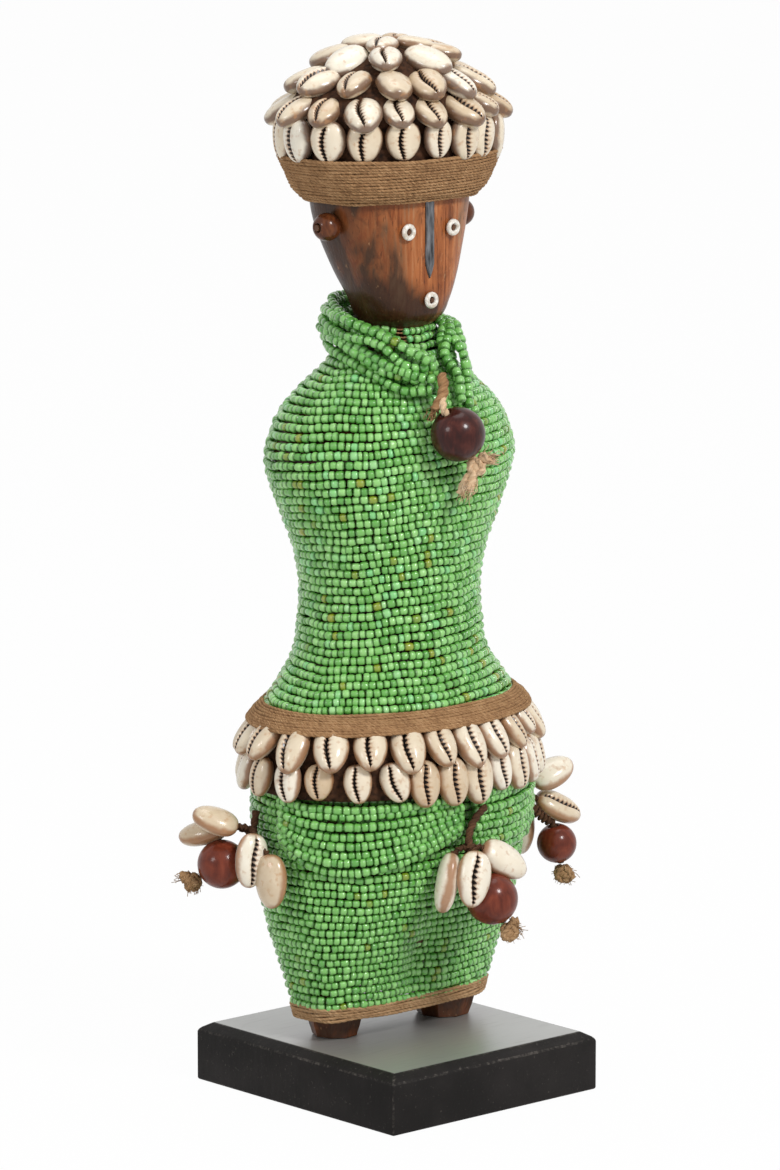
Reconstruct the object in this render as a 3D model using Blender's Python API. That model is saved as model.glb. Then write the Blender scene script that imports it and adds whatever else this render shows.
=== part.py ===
"""A carved doll dressed in bead strands and cowries, standing on a plinth.

Metres, +Z up. The origin is the centre of the plinth's underside and the doll faces -Y.
Heights on the figure are measured from the top of the plinth, and x and y from the figure's own axis.
"""

import math

import bmesh
import bpy
import numpy as np
from mathutils import Matrix, Vector

# Fits, and the step over which a surface's slope is taken
GAP = 0.0003
SLOPE_STEP = 0.001

# Plinth and the screws that hold the figure to it
PLINTH_WIDTH = 0.092
PLINTH_DEPTH = 0.100
PLINTH_HEIGHT = 0.020
CHAMFER_ACROSS = 0.004
CHAMFER_DOWN = 0.0024
FIGURE_X = 0.0017
FIGURE_Y = 0.0052
SCREW_RADIUS = 0.0018
SCREW_HEAD_RADIUS = 0.0036
SCREW_HEAD_HEIGHT = 0.003
SCREW_SINK = 0.002
SCREW_BITE = 0.020
SCREW_SIDES = 12

# Outer surface of the dress: height, half width, half depth, squareness
DRESS = (
    (0.012, 0.0392, 0.0158, 3.2),
    (0.025, 0.0428, 0.0200, 3.0),
    (0.040, 0.0470, 0.0270, 2.6),
    (0.060, 0.0495, 0.0347, 2.3),
    (0.080, 0.0514, 0.0370, 2.2),
    (0.095, 0.0500, 0.0360, 2.1),
    (0.108, 0.0495, 0.0350, 2.1),
    (0.114, 0.0475, 0.0343, 2.0),
    (0.120, 0.0429, 0.0322, 2.0),
    (0.128, 0.0363, 0.0297, 2.0),
    (0.140, 0.0330, 0.0290, 2.0),
    (0.152, 0.0320, 0.0288, 2.0),
    (0.164, 0.0343, 0.0302, 2.0),
    (0.176, 0.0392, 0.0326, 2.0),
    (0.188, 0.0446, 0.0348, 2.0),
    (0.196, 0.0464, 0.0358, 2.0),
    (0.204, 0.0442, 0.0344, 2.0),
    (0.212, 0.0397, 0.0318, 2.0),
    (0.220, 0.0310, 0.0263, 2.0),
    (0.226, 0.0235, 0.0212, 2.0),
    (0.232, 0.0180, 0.0170, 2.0),
)

# Head: height, half width, front y, back y, squareness
HEAD = (
    (0.238, 0.0118, -0.0125, 0.0100, 2.0),
    (0.242, 0.0140, -0.0172, 0.0092, 2.4),
    (0.248, 0.0163, -0.0193, 0.0102, 2.6),
    (0.256, 0.0199, -0.0195, 0.0130, 2.8),
    (0.264, 0.0229, -0.0195, 0.0160, 2.8),
    (0.272, 0.0255, -0.0195, 0.0185, 2.8),
    (0.280, 0.0273, -0.0195, 0.0195, 2.8),
    (0.292, 0.0275, -0.0195, 0.0195, 2.8),
    (0.296, 0.0265, -0.0185, 0.0185, 2.8),
)

# Legs: height, radius
LEG = ((GAP, 0.00725), (0.010, 0.0097), (0.013, 0.0083), (0.024, 0.0083), (0.045, 0.0095))
LEG_SPREAD = 0.0237
LEG_STAGGER = 0.0009
LEG_SIDES = 12
TRUNK_BOTTOM = 0.030
FIGURE_SIDES = 24
NECK_RADIUS = 0.0105

# Bead strands wound round the body, each loop standing for about two rows of beads
STRAND = 0.0062
STRAND_POINTS = 24
TORSO_LOOPS = 14
SKIRT_LOOPS = 8
COLLAR_STRAND = 0.0050
COLLAR_LOOPS = 3
COLLAR_PITCH = 0.0058
COLLAR_DIP = 0.0120
COLLAR_RADIUS = 0.0195

# Twine bands: outlines as height, half width, half depth, squareness
CAP_TWINE = 0.0030
CAP_TWINE_LOOPS = 3
CAP_BAND = ((0.2820, 0.0316, 0.0236, 2.8), (0.2950, 0.0383, 0.0298, 2.3))
BELT_TWINE = 0.0024
BELT_TWINE_LOOPS = 2
BELT_BAND = ((0.1075, 0.0525, 0.0375, 2.1), (0.1155, 0.0480, 0.0345, 2.0))
HEM_HEIGHT = 0.0050
HEM_THICKNESS = 0.0032
HEM_BOTTOM = 0.0070

# Belt backing, hung from just under the twine, and the strands that stop short of it, the hem and the neck
BACKING_CLEARANCE = 0.0005
BELT_BACKING_HEIGHT = 0.0245
BELT_BACKING_INSET = 0.0006
BELT_BACKING_TOP = BELT_BAND[0][0] - BACKING_CLEARANCE
BELT_BACKING_BOTTOM = BELT_BACKING_TOP - BELT_BACKING_HEIGHT
BELT_CLEARANCE = 0.0074
TORSO_BOTTOM = BELT_BACKING_TOP + BELT_CLEARANCE
NECK_CLEARANCE = 0.0060
TORSO_TOP = DRESS[-1][0] - NECK_CLEARANCE
SKIRT_CLEARANCE = 0.0019
SKIRT_TOP = BELT_BACKING_BOTTOM - STRAND / 2 - SKIRT_CLEARANCE
HEM_CLEARANCE = 0.0009
SKIRT_BOTTOM = HEM_BOTTOM + HEM_HEIGHT + STRAND / 2 + HEM_CLEARANCE
COLLAR_RISE = 0.0005
COLLAR_TOP = HEAD[1][0] + COLLAR_RISE

# Face: eyes and ears lie below the cap's rim, the mouth above the chin, the nose between twine and mouth
CAP_RIM_RISE = 0.0070
CAP_RIM = CAP_BAND[0][0] + CAP_RIM_RISE
EYE_SPREAD = 0.0098
EYE_DROP = 0.0170
EYE_HEIGHT = CAP_RIM - EYE_DROP
MOUTH_RISE = 0.0067
MOUTH_HEIGHT = HEAD[1][0] + MOUTH_RISE
RING_SIDES = 16
RING_RADIUS = 0.0028
RING_HOLE = 0.0011
RING_THICKNESS = 0.0016
RING_PEG_RADIUS = 0.0008
RING_PEG_DEPTH = 0.006
RING_PEG_SHARE = 0.75
PEG_SIDES = 8
EAR_BEAD_RADIUS = 0.0047
EAR_BEAD_REACH = 0.0296
EAR_BEAD_Y = -0.0023
EAR_DROP = 0.0153
EAR_BEAD_HEIGHT = CAP_RIM - EAR_DROP
EAR_SEAT_SIDES = 16
EAR_PEG_RADIUS = 0.0011
EAR_PEG_DEPTH = 0.010
EAR_PEG_SHARE = 0.97
NOSE_WIDTH = 0.0025
NOSE_CLEARANCE = 0.0012
NOSE_POINT = 0.0033
NOSE_TOP_CLEARANCE = 0.0010
NOSE_TOP = CAP_BAND[0][0] - NOSE_TOP_CLEARANCE
NOSE_TIP = MOUTH_HEIGHT + RING_RADIUS + NOSE_CLEARANCE
NOSE_SHOULDER = NOSE_TIP + NOSE_POINT
NOSE_PROUD = 0.0011
NOSE_SUNK = 0.0020

# Cap: the outer surface of the fibre core above the twine, then the tiers of shells sewn round it
CAP_CORE = (
    (0.3055, 0.0350, 0.0272, 2.0),
    (0.3146, 0.0352, 0.0272, 2.0),
    (0.3187, 0.0290, 0.0231, 2.0),
    (0.3230, 0.0232, 0.0184, 2.0),
    (0.3266, 0.0174, 0.0146, 2.0),
    (0.3296, 0.0108, 0.0095, 2.0),
    (0.3315, 0.0035, 0.0035, 2.0),
)
# Each tier: shells, outline half width and half depth, sewn end and free tip as offset and height, thickness
CAP_TIERS = (
    (18, 0.0356, 0.0276, (0.0022, 0.3065), (0.0030, 0.2956), 0.0050),
    (17, 0.0356, 0.0276, (0.0004, 0.3150), (0.0069, 0.3036), 0.0048),
    (13, 0.0260, 0.0210, (-0.0020, 0.3240), (0.0100, 0.3175), 0.0042),
    (8, 0.0140, 0.0120, (-0.0020, 0.3300), (0.0115, 0.3260), 0.0042),
    (4, 0.0050, 0.0050, (-0.0025, 0.3333), (0.0085, 0.3316), 0.0038),
)

# Belt: two rows of shells that hang from the backing
BELT_ROWS = (
    (23, 0.0500, 0.0350, (0.0018, 0.1070), (0.0082, 0.0930), 0.0062),
    (24, 0.0500, 0.0350, (0.0028, 0.0955), (0.0060, 0.0802), 0.0060),
)
SEWN_STRIP = 0.0018
SEWN_SHARE = 0.3
# Round a sewn shell's section: shares of its length, and of its thickness outwards
SEWN_SECTION = ((0.0, 0.0), (0.32, 0.6), (0.76, 0.5), (1.0, 0.0), (0.55, -0.38))
# Round a row: the strip between two shells, then one full shell
SEWN_FULLNESS = (0.0, 1.0, 1.0)

# Loose cowries of the tassels
SHELL_WIDTH = 0.0108
SHELL_THICKNESS = 0.0072
SHELL_SIDES = 8
# From the sewn end to the tip: share of the length, and how full the shell is there
SHELL_RINGS = ((0.03, 0.3), (0.14, 0.68), (0.38, 1.0), (0.66, 0.86), (0.88, 0.5), (0.98, 0.2))

# Cords of the tassels and the pendant
CORD_RADIUS = 0.0012
CORD_STEP = 0.0055
BEAD_SIDES = 12
BEAD_RINGS = 7
KNOT_RADIUS = 0.0036
KNOT_SEAT = 1.04
KNOT_LUMP = 0.14
CURVE_STEPS = 12

# Colours
BLACK = (0.020, 0.019, 0.019)
WOOD = (0.21, 0.075, 0.022)
GREEN = (0.13, 0.42, 0.12)
SHELL = (0.72, 0.62, 0.50)
TWINE = (0.24, 0.15, 0.075)
TAN = (0.45, 0.29, 0.15)
FIBRE = (0.05, 0.028, 0.016)
MAROON = (0.085, 0.018, 0.012)
WHITE = (0.80, 0.77, 0.70)
METAL = (0.32, 0.33, 0.34)
STEEL = (0.50, 0.50, 0.52)


def clear_scene():
    for obj in list(bpy.data.objects):
        bpy.data.objects.remove(obj)


def material(name, colour, roughness, metallic=0.0):
    made = bpy.data.materials.new(name)
    made.use_nodes = True
    shader = made.node_tree.nodes["Principled BSDF"]
    shader.inputs["Base Color"].default_value = (*colour, 1.0)
    shader.inputs["Roughness"].default_value = roughness
    shader.inputs["Metallic"].default_value = metallic
    return made


def empty(name, place, parent=None):
    made = bpy.data.objects.new(name, None)
    made.location = place
    made.parent = parent
    bpy.context.collection.objects.link(made)
    return made


def finish(obj, parent, look):
    """Links an object whose data is in the figure's coordinates, and hangs it on its parent."""
    bpy.context.collection.objects.link(obj)
    obj.data.materials.append(look)
    obj.parent = parent
    if parent is not None and parent.parent is not None:
        obj.matrix_parent_inverse = Matrix.Translation(parent.location).inverted()
    return obj


def mesh_object(name, shape, parent, look):
    bmesh.ops.recalc_face_normals(shape, faces=shape.faces)
    data = bpy.data.meshes.new(name)
    shape.to_mesh(data)
    shape.free()
    data.shade_smooth()
    data.set_sharp_from_angle(angle=math.radians(40))
    return finish(bpy.data.objects.new(name, data), parent, look)


def along(stations, height):
    """The columns of a station table at this height, on a smooth curve through the stations."""
    table = np.array(stations)
    heights = table[:, 0]
    values = table[:, 1:]
    slopes = np.gradient(values, heights, axis=0)
    low = int(np.clip(np.searchsorted(heights, height) - 1, 0, len(heights) - 2))
    step = heights[low + 1] - heights[low]
    t = float(np.clip((height - heights[low]) / step, 0.0, 1.0))
    start = (2 * t**3 - 3 * t**2 + 1) * values[low] + (t**3 - 2 * t**2 + t) * step * slopes[low]
    end = (3 * t**2 - 2 * t**3) * values[low + 1] + (t**3 - t**2) * step * slopes[low + 1]
    return start + end


def inset(stations, height, depth):
    """The outline at this height, moved in by a depth that is measured square to the surface."""
    moved = along(stations, height)
    slope = (along(stations, height + SLOPE_STEP) - along(stations, height - SLOPE_STEP)) / (2 * SLOPE_STEP)
    moved[:2] -= depth * np.sqrt(1 + slope[:2] ** 2)
    return moved


def round_point(angle, half_width, half_depth, squareness=2.0):
    """A point of a superellipse, with angle 0 at +X."""
    power = 2.0 / squareness
    cosine = math.cos(angle)
    sine = math.sin(angle)
    x = half_width * math.copysign(abs(cosine) ** power, cosine)
    y = half_depth * math.copysign(abs(sine) ** power, sine)
    return x, y


def outline_ring(height, half_width, half_depth, squareness, sides, y=0.0):
    ring = []
    for i in range(sides):
        px, py = round_point(math.tau * i / sides, half_width, half_depth, squareness)
        ring.append(Vector((px, py + y, height)))
    return ring


def skin(shape, rings, wrap):
    """Joins rings of equal counts with faces. With wrap the last meets the first, else both are capped."""
    loops = []
    for ring in rings:
        loops.append([shape.verts.new(point) for point in ring])
    pairs = list(zip(loops, loops[1:]))
    if wrap:
        pairs.append((loops[-1], loops[0]))
    else:
        shape.faces.new(loops[0])
        shape.faces.new(loops[-1])
    for lower, upper in pairs:
        for i in range(len(lower)):
            j = (i + 1) % len(lower)
            shape.faces.new((lower[i], lower[j], upper[j], upper[i]))


def loft(name, rings, parent, look, wrap=False):
    shape = bmesh.new()
    skin(shape, rings, wrap)
    return mesh_object(name, shape, parent, look)


def turned(name, profile, place, axis, sides, parent, look):
    """A ring-like or solid piece turned round an axis, from (radius, distance along the axis) points."""
    turn = Vector((0, 0, 1)).rotation_difference(Vector(axis))
    closed = min(radius for radius, _ in profile) > 0
    shape = bmesh.new()
    if closed:
        rings = []
        for i in range(sides):
            angle = math.tau * i / sides
            out = Vector((math.cos(angle), math.sin(angle), 0))
            rings.append([Vector(place) + turn @ (out * r + Vector((0, 0, d))) for r, d in profile])
        skin(shape, rings, True)
    else:
        rings = []
        for r, d in profile[1:-1]:
            ring = []
            for i in range(sides):
                angle = math.tau * i / sides
                ring.append(Vector(place) + turn @ Vector((r * math.cos(angle), r * math.sin(angle), d)))
            rings.append(ring)
        skin(shape, rings, False)
    return mesh_object(name, shape, parent, look)


def rod_profile(radius, start, end):
    return [(0, start), (radius, start), (radius, end), (0, end)]


def cutter(obj):
    obj.hide_render = True
    obj.display_type = "WIRE"
    return obj


def boolean(obj, other, operation):
    change = obj.modifiers.new(other.name, "BOOLEAN")
    change.operation = operation
    change.object = cutter(other)
    change.solver = "EXACT"


def tube(name, points, radius, resolution, parent, look):
    data = bpy.data.curves.new(name, "CURVE")
    data.dimensions = "3D"
    data.bevel_depth = radius
    data.bevel_resolution = resolution
    data.use_fill_caps = True
    spline = data.splines.new("POLY")
    spline.points.add(len(points) - 1)
    for point, place in zip(spline.points, points):
        point.co = (*place, 1.0)
    return finish(bpy.data.objects.new(name, data), parent, look)


def smooth_route(route, step):
    """Evenly spaced points on a smooth curve through a route's own points."""
    spots = [Vector(p) for p in route]
    ends = [2 * spots[0] - spots[1]] + spots + [2 * spots[-1] - spots[-2]]
    fine = []
    for a, b, c, d in zip(ends, ends[1:], ends[2:], ends[3:]):
        for i in range(CURVE_STEPS):
            t = i / CURVE_STEPS
            fine.append(0.5 * (2 * b + (c - a) * t + (2 * a - 5 * b + 4 * c - d) * t**2
                               + (3 * b - a - 3 * c + d) * t**3))
    fine.append(spots[-1])
    travelled = [0.0]
    for p, q in zip(fine, fine[1:]):
        travelled.append(travelled[-1] + (q - p).length)
    count = max(2, round(travelled[-1] / step) + 1)
    wanted = np.linspace(0, travelled[-1], count)
    columns = [np.interp(wanted, travelled, [p[k] for p in fine]) for k in range(3)]
    return [Vector(p) for p in zip(*columns)]


def straight_ends(points, reach):
    """Runs both ends of a winding on, straight, for one tube diameter."""
    first = points[0] + (points[0] - points[1]).normalized() * reach
    last = points[-1] + (points[-1] - points[-2]).normalized() * reach
    return [first] + points + [last]


def say_least_gap(name, points, diameter):
    spots = np.array([tuple(p) for p in points])
    apart = np.linalg.norm(spots[:, None] - spots[None, :], axis=2)
    index = np.arange(len(spots))
    near = np.abs(index[:, None] - index[None, :]) < STRAND_POINTS // 2
    least = np.where(near, np.inf, apart).min() - diameter
    print(f"{name}: least gap to itself {least * 1000:.2f} mm")


def winding(name, stations, bottom, top, loops, diameter, parent, look):
    """One strand wound up a surface, its turns evenly spaced along the surface, just inside its outline."""
    heights = np.linspace(bottom, top, 200)
    widths = np.array([along(stations, h)[:2].mean() for h in heights])
    travelled = np.concatenate([[0], np.cumsum(np.hypot(np.diff(heights), np.diff(widths)))])
    points = []
    count = loops * STRAND_POINTS
    for i in range(count + 1):
        height = float(np.interp(travelled[-1] * i / count, travelled, heights))
        half_width, half_depth, squareness = inset(stations, height, diameter / 2)
        angle = math.pi / 2 + math.tau * i / STRAND_POINTS
        x, y = round_point(angle, half_width, half_depth, squareness)
        points.append(Vector((x, y, height)))
    points = straight_ends(points, diameter)
    say_least_gap(name, points, diameter)
    return tube(name, points, diameter / 2, 1, parent, look)


def collar_points():
    """The loose strand round the neck, which dips at the front and lies on the dress."""
    points = []
    lift = COLLAR_STRAND / 2 + 2 * GAP
    count = COLLAR_LOOPS * STRAND_POINTS
    for i in range(count + 1):
        angle = math.pi / 2 + math.tau * i / STRAND_POINTS
        front = (1 - math.sin(angle)) / 2
        rise = COLLAR_TOP - COLLAR_PITCH * (COLLAR_LOOPS - i / STRAND_POINTS)
        height = rise - COLLAR_DIP * front**2
        half_width, half_depth, _ = inset(DRESS, height, -lift)
        x, y = round_point(angle, max(half_width, COLLAR_RADIUS), max(half_depth, COLLAR_RADIUS))
        points.append(Vector((x, y, height)))
    return points


def even_angles(half_width, half_depth, count):
    """Angles that divide an ellipse into equal lengths."""
    fine = np.linspace(0, math.tau, 721)
    around = np.stack([half_width * np.cos(fine), half_depth * np.sin(fine)], axis=1)
    travelled = np.concatenate([[0], np.cumsum(np.linalg.norm(np.diff(around, axis=0), axis=1))])
    return np.interp(np.linspace(0, travelled[-1], count, endpoint=False), travelled, fine)


def shell_row(name, count, half_width, half_depth, sewn, tip, thickness, parent, look):
    """A row of cowries on their sewing strip: a ring that swells at each shell and thins to the strip."""
    angles = even_angles(half_width, half_depth, count * len(SEWN_FULLNESS))
    start = Vector(sewn)
    axis = Vector(tip) - start
    out = Vector((-axis.y, axis.x)).normalized()
    if out.y < 0:
        out = -out
    rings = []
    for i, angle in enumerate(angles):
        full = SEWN_FULLNESS[i % len(SEWN_FULLNESS)]
        run = axis * (SEWN_SHARE + (1 - SEWN_SHARE) * full)
        thick = SEWN_STRIP + (thickness - SEWN_STRIP) * full
        ring = []
        for length_share, thick_share in SEWN_SECTION:
            offset, height = start + run * length_share + out * thick * thick_share
            x, y = round_point(angle, half_width + offset, half_depth + offset)
            ring.append(Vector((x, y, height)))
        rings.append(ring)
    return loft(name, rings, parent, look, wrap=True)


def cowrie(name, sewn, tip, facing, parent, look):
    """One loose cowrie: an egg, broad end at the sewn end, flattened towards the side that it faces."""
    start = Vector(sewn)
    length = (Vector(tip) - start).length
    down = (Vector(tip) - start).normalized()
    side = down.cross(Vector(facing)).normalized()
    out = side.cross(down).normalized()
    rings = []
    for share, fullness in SHELL_RINGS:
        ring = []
        for i in range(SHELL_SIDES):
            angle = math.tau * i / SHELL_SIDES
            across = side * math.cos(angle) * SHELL_WIDTH / 2 + out * math.sin(angle) * SHELL_THICKNESS / 2
            ring.append(start + down * length * share + across * fullness)
        rings.append(ring)
    return loft(name, rings, parent, look)


def bead_profile(radius, bore):
    """A ball with a hole through it, as a turned section."""
    widest = math.acos(bore / radius)
    profile = []
    for i in range(BEAD_RINGS):
        angle = -widest + 2 * widest * i / (BEAD_RINGS - 1)
        profile.append((radius * math.cos(angle), radius * math.sin(angle)))
    return profile


def knot(name, place, parent, look):
    """A lumpy ball of cord."""
    shape = bmesh.new()
    bmesh.ops.create_icosphere(shape, subdivisions=2, radius=KNOT_RADIUS)
    for vert in shape.verts:
        direction = vert.co.normalized()
        vert.co *= 1 - KNOT_LUMP * math.sin(7 * direction.x + 2) * math.cos(6 * direction.z)
        vert.co += Vector(place)
    return mesh_object(name, shape, parent, look)


def make_plinth(looks):
    rings = []
    for height, shrink in ((0, 0), (PLINTH_HEIGHT - CHAMFER_DOWN, 0), (PLINTH_HEIGHT, CHAMFER_ACROSS)):
        x = PLINTH_WIDTH / 2 - shrink
        y = PLINTH_DEPTH / 2 - shrink
        rings.append([Vector((px, py, height)) for px, py in ((-x, -y), (x, -y), (x, y), (-x, y))])
    plinth = loft("plinth", rings, None, looks["black"])
    for side, x, y in leg_places():
        place = (FIGURE_X + x, FIGURE_Y + y, 0)
        seat = SCREW_SINK + SCREW_HEAD_HEIGHT + GAP
        hole = rod_profile(SCREW_RADIUS + GAP, -PLINTH_HEIGHT, 2 * PLINTH_HEIGHT)
        recess = rod_profile(SCREW_HEAD_RADIUS + GAP, -PLINTH_HEIGHT, seat)
        for name, profile in (("hole", hole), ("recess", recess)):
            cut = turned(f"{name}_{side}", profile, place, (0, 0, 1), SCREW_SIDES, None, looks["black"])
            boolean(plinth, cut, "DIFFERENCE")


def leg_places():
    return (("right", -LEG_SPREAD, LEG_STAGGER), ("left", LEG_SPREAD, -LEG_STAGGER))


def make_screws(looks):
    for side, x, y in leg_places():
        head_top = SCREW_SINK + SCREW_HEAD_HEIGHT
        profile = (
            (0, SCREW_SINK),
            (SCREW_HEAD_RADIUS, SCREW_SINK),
            (SCREW_HEAD_RADIUS, head_top),
            (SCREW_RADIUS, head_top),
            (SCREW_RADIUS, PLINTH_HEIGHT + SCREW_BITE),
            (0, PLINTH_HEIGHT + SCREW_BITE),
        )
        place = (FIGURE_X + x, FIGURE_Y + y, 0)
        turned(f"mounting_screw_{side}", profile, place, (0, 0, 1), SCREW_SIDES, None, looks["steel"])


def head_rings():
    rings = []
    for height, half_width, front, back, squareness in HEAD:
        half_depth = (back - front) / 2
        middle = (front + back) / 2
        rings.append(outline_ring(height, half_width, half_depth, squareness, FIGURE_SIDES, middle))
    return rings


def face_front(x, height):
    """How far forward the face reaches at x."""
    half_width, front, back, squareness = along(HEAD, height)
    half_depth = (back - front) / 2
    return (front + back) / 2 - half_depth * (1 - (abs(x) / half_width) ** squareness) ** (1 / squareness)


def face_rings():
    """The white rings of the face: name, x and height."""
    eyes = (("eye_right", -EYE_SPREAD, EYE_HEIGHT), ("eye_left", EYE_SPREAD, EYE_HEIGHT))
    return (*eyes, ("mouth", 0.0, MOUTH_HEIGHT))


def ring_seat(x, height):
    """The back of a face ring: just in front of the face under the ring's inner edge."""
    inner = max(abs(x) - RING_RADIUS, 0.0)
    spots = [face_front(inner, height + lift) for lift in (-RING_RADIUS, 0.0, RING_RADIUS)]
    return min(spots) - GAP


def nose_outline(grow):
    half = NOSE_WIDTH / 2 + grow
    return ((-half, NOSE_TOP + grow), (-half, NOSE_SHOULDER), (0, NOSE_TIP - 2 * grow), (half, NOSE_SHOULDER),
            (half, NOSE_TOP + grow))


def nose_solid(name, grow, front, back, axis, look):
    rings = []
    for y in (front, back):
        rings.append([Vector((x, y, height)) for x, height in nose_outline(grow)])
    return loft(name, rings, axis, look)


def make_figure(axis, looks):
    """The carving, with the holes and slots that its fittings sit in."""
    layer = STRAND + 2 * GAP
    rings = []
    for height in [TRUNK_BOTTOM] + [row[0] for row in DRESS if row[0] > TRUNK_BOTTOM]:
        half_width, half_depth, squareness = inset(DRESS, height, layer)
        half_width = max(half_width, NECK_RADIUS)
        half_depth = max(half_depth, NECK_RADIUS)
        rings.append(outline_ring(height, half_width, half_depth, squareness, FIGURE_SIDES))
    figure = loft("carved_figure", rings + head_rings(), axis, looks["wood"])
    for side, x, y in leg_places():
        profile = [(0, LEG[0][0])] + [(radius, height) for height, radius in LEG] + [(0, LEG[-1][0])]
        leg = turned(f"leg_{side}", profile, (x, y, 0), (0, 0, 1), LEG_SIDES, axis, looks["wood"])
        boolean(figure, leg, "UNION")
        hole = rod_profile(SCREW_RADIUS + GAP, -SCREW_BITE, SCREW_BITE + GAP)
        cut = turned(f"leg_hole_{side}", hole, (x, y, 0), (0, 0, 1), SCREW_SIDES, axis, looks["wood"])
        boolean(figure, cut, "DIFFERENCE")
    for name, x, height in face_rings():
        hole = rod_profile(RING_PEG_RADIUS + GAP, -RING_PEG_DEPTH - GAP, RING_PEG_DEPTH)
        place = (x, face_front(x, height), height)
        cut = turned(f"{name}_hole", hole, place, (0, -1, 0), PEG_SIDES, axis, looks["wood"])
        boolean(figure, cut, "DIFFERENCE")
    for side, sign in (("right", -1), ("left", 1)):
        place = (sign * EAR_BEAD_REACH, EAR_BEAD_Y, EAR_BEAD_HEIGHT)
        seat = [(0, -EAR_BEAD_RADIUS - GAP)]
        seat += bead_profile(EAR_BEAD_RADIUS + 2 * GAP, EAR_PEG_RADIUS)
        seat += [(0, EAR_BEAD_RADIUS + GAP)]
        cut = turned(f"ear_seat_{side}", seat, place, (sign, 0, 0), EAR_SEAT_SIDES, axis, looks["wood"])
        boolean(figure, cut, "DIFFERENCE")
        hole = rod_profile(EAR_PEG_RADIUS + GAP, -EAR_BEAD_RADIUS - EAR_PEG_DEPTH - GAP, EAR_BEAD_RADIUS)
        cut = turned(f"ear_hole_{side}", hole, place, (sign, 0, 0), PEG_SIDES, axis, looks["wood"])
        boolean(figure, cut, "DIFFERENCE")
    face = face_front(0.0, NOSE_TOP)
    slot = nose_solid("nose_slot", GAP, face - NOSE_PROUD - GAP, face + NOSE_SUNK + GAP, axis, looks["wood"])
    boolean(figure, slot, "DIFFERENCE")


def make_face(axis, looks):
    face = face_front(0.0, NOSE_TOP)
    nose_solid("nose_strip", 0.0, face - NOSE_PROUD, face + NOSE_SUNK, axis, looks["metal"])
    for name, x, height in face_rings():
        seat = ring_seat(x, height)
        edge = RING_THICKNESS / 4
        profile = (
            (RING_HOLE, 0),
            (RING_RADIUS - edge, 0),
            (RING_RADIUS, edge),
            (RING_RADIUS, RING_THICKNESS - edge),
            (RING_RADIUS - edge, RING_THICKNESS),
            (RING_HOLE, RING_THICKNESS),
        )
        turned(f"{name}_ring", profile, (x, seat, height), (0, -1, 0), RING_SIDES, axis, looks["white"])
        sunk = seat - face_front(x, height) - RING_PEG_DEPTH
        peg = rod_profile(RING_PEG_RADIUS, sunk, RING_THICKNESS * RING_PEG_SHARE)
        turned(f"{name}_peg", peg, (x, seat, height), (0, -1, 0), PEG_SIDES, axis, looks["wood"])
    for side, sign in (("right", -1), ("left", 1)):
        place = (sign * EAR_BEAD_REACH, EAR_BEAD_Y, EAR_BEAD_HEIGHT)
        ball = bead_profile(EAR_BEAD_RADIUS, EAR_PEG_RADIUS + GAP)
        turned(f"ear_bead_{side}", ball, place, (sign, 0, 0), BEAD_SIDES, axis, looks["maroon"])
        peg = rod_profile(EAR_PEG_RADIUS, -EAR_BEAD_RADIUS - EAR_PEG_DEPTH, EAR_BEAD_RADIUS * EAR_PEG_SHARE)
        turned(f"ear_peg_{side}", peg, place, (sign, 0, 0), PEG_SIDES, axis, looks["wood"])


def make_cap(axis, looks):
    """The fibre cap is a cup over the crown of the head, with the twine wound round its rim."""
    winding_low = CAP_BAND[0][0] + CAP_TWINE / 2
    winding_high = CAP_BAND[1][0] - CAP_TWINE / 2
    turns = CAP_TWINE_LOOPS
    winding("cap_twine_band", CAP_BAND, winding_low, winding_high, turns, CAP_TWINE, axis, looks["twine"])
    outer = [outline_ring(*row, FIGURE_SIDES) for row in CAP_CORE]
    for height in (CAP_BAND[1][0], CAP_RIM):
        half_width, half_depth, squareness = inset(CAP_BAND, height, CAP_TWINE + 2 * GAP)
        outer.insert(0, outline_ring(height, half_width, half_depth, squareness, FIGURE_SIDES))
    _, half_width, front, back, squareness = max(HEAD, key=lambda row: row[1])
    half_depth = (back - front) / 2
    inner = []
    for height in (HEAD[-1][0] + GAP, CAP_RIM):
        inner.append(outline_ring(height, half_width + GAP, half_depth + GAP, squareness, FIGURE_SIDES))
    loft("cap_core", inner + outer, axis, looks["fibre"])
    for i, tier in enumerate(CAP_TIERS):
        shell_row(f"cap_shell_tier_{i + 1}", *tier, axis, looks["shell"])


def make_dress(axis, looks):
    low = TORSO_BOTTOM + STRAND / 2
    winding("torso_beads", DRESS, low, TORSO_TOP, TORSO_LOOPS, STRAND, axis, looks["green"])
    winding("skirt_beads", DRESS, SKIRT_BOTTOM, SKIRT_TOP, SKIRT_LOOPS, STRAND, axis, looks["green"])
    points = straight_ends(collar_points(), COLLAR_STRAND)
    say_least_gap("collar_strand", points, COLLAR_STRAND)
    tube("collar_strand", points, COLLAR_STRAND / 2, 1, axis, looks["green"])
    half_width, half_depth, squareness = along(DRESS, HEM_BOTTOM + HEM_HEIGHT)
    hem = []
    for height, depth in ((HEM_BOTTOM, 0), (HEM_BOTTOM + HEM_HEIGHT, 0),
                          (HEM_BOTTOM + HEM_HEIGHT, HEM_THICKNESS), (HEM_BOTTOM, HEM_THICKNESS)):
        hem.append(outline_ring(height, half_width - depth, half_depth - depth, squareness, FIGURE_SIDES))
    loft("hem_twine_band", hem, axis, looks["tan"], wrap=True)


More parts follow.
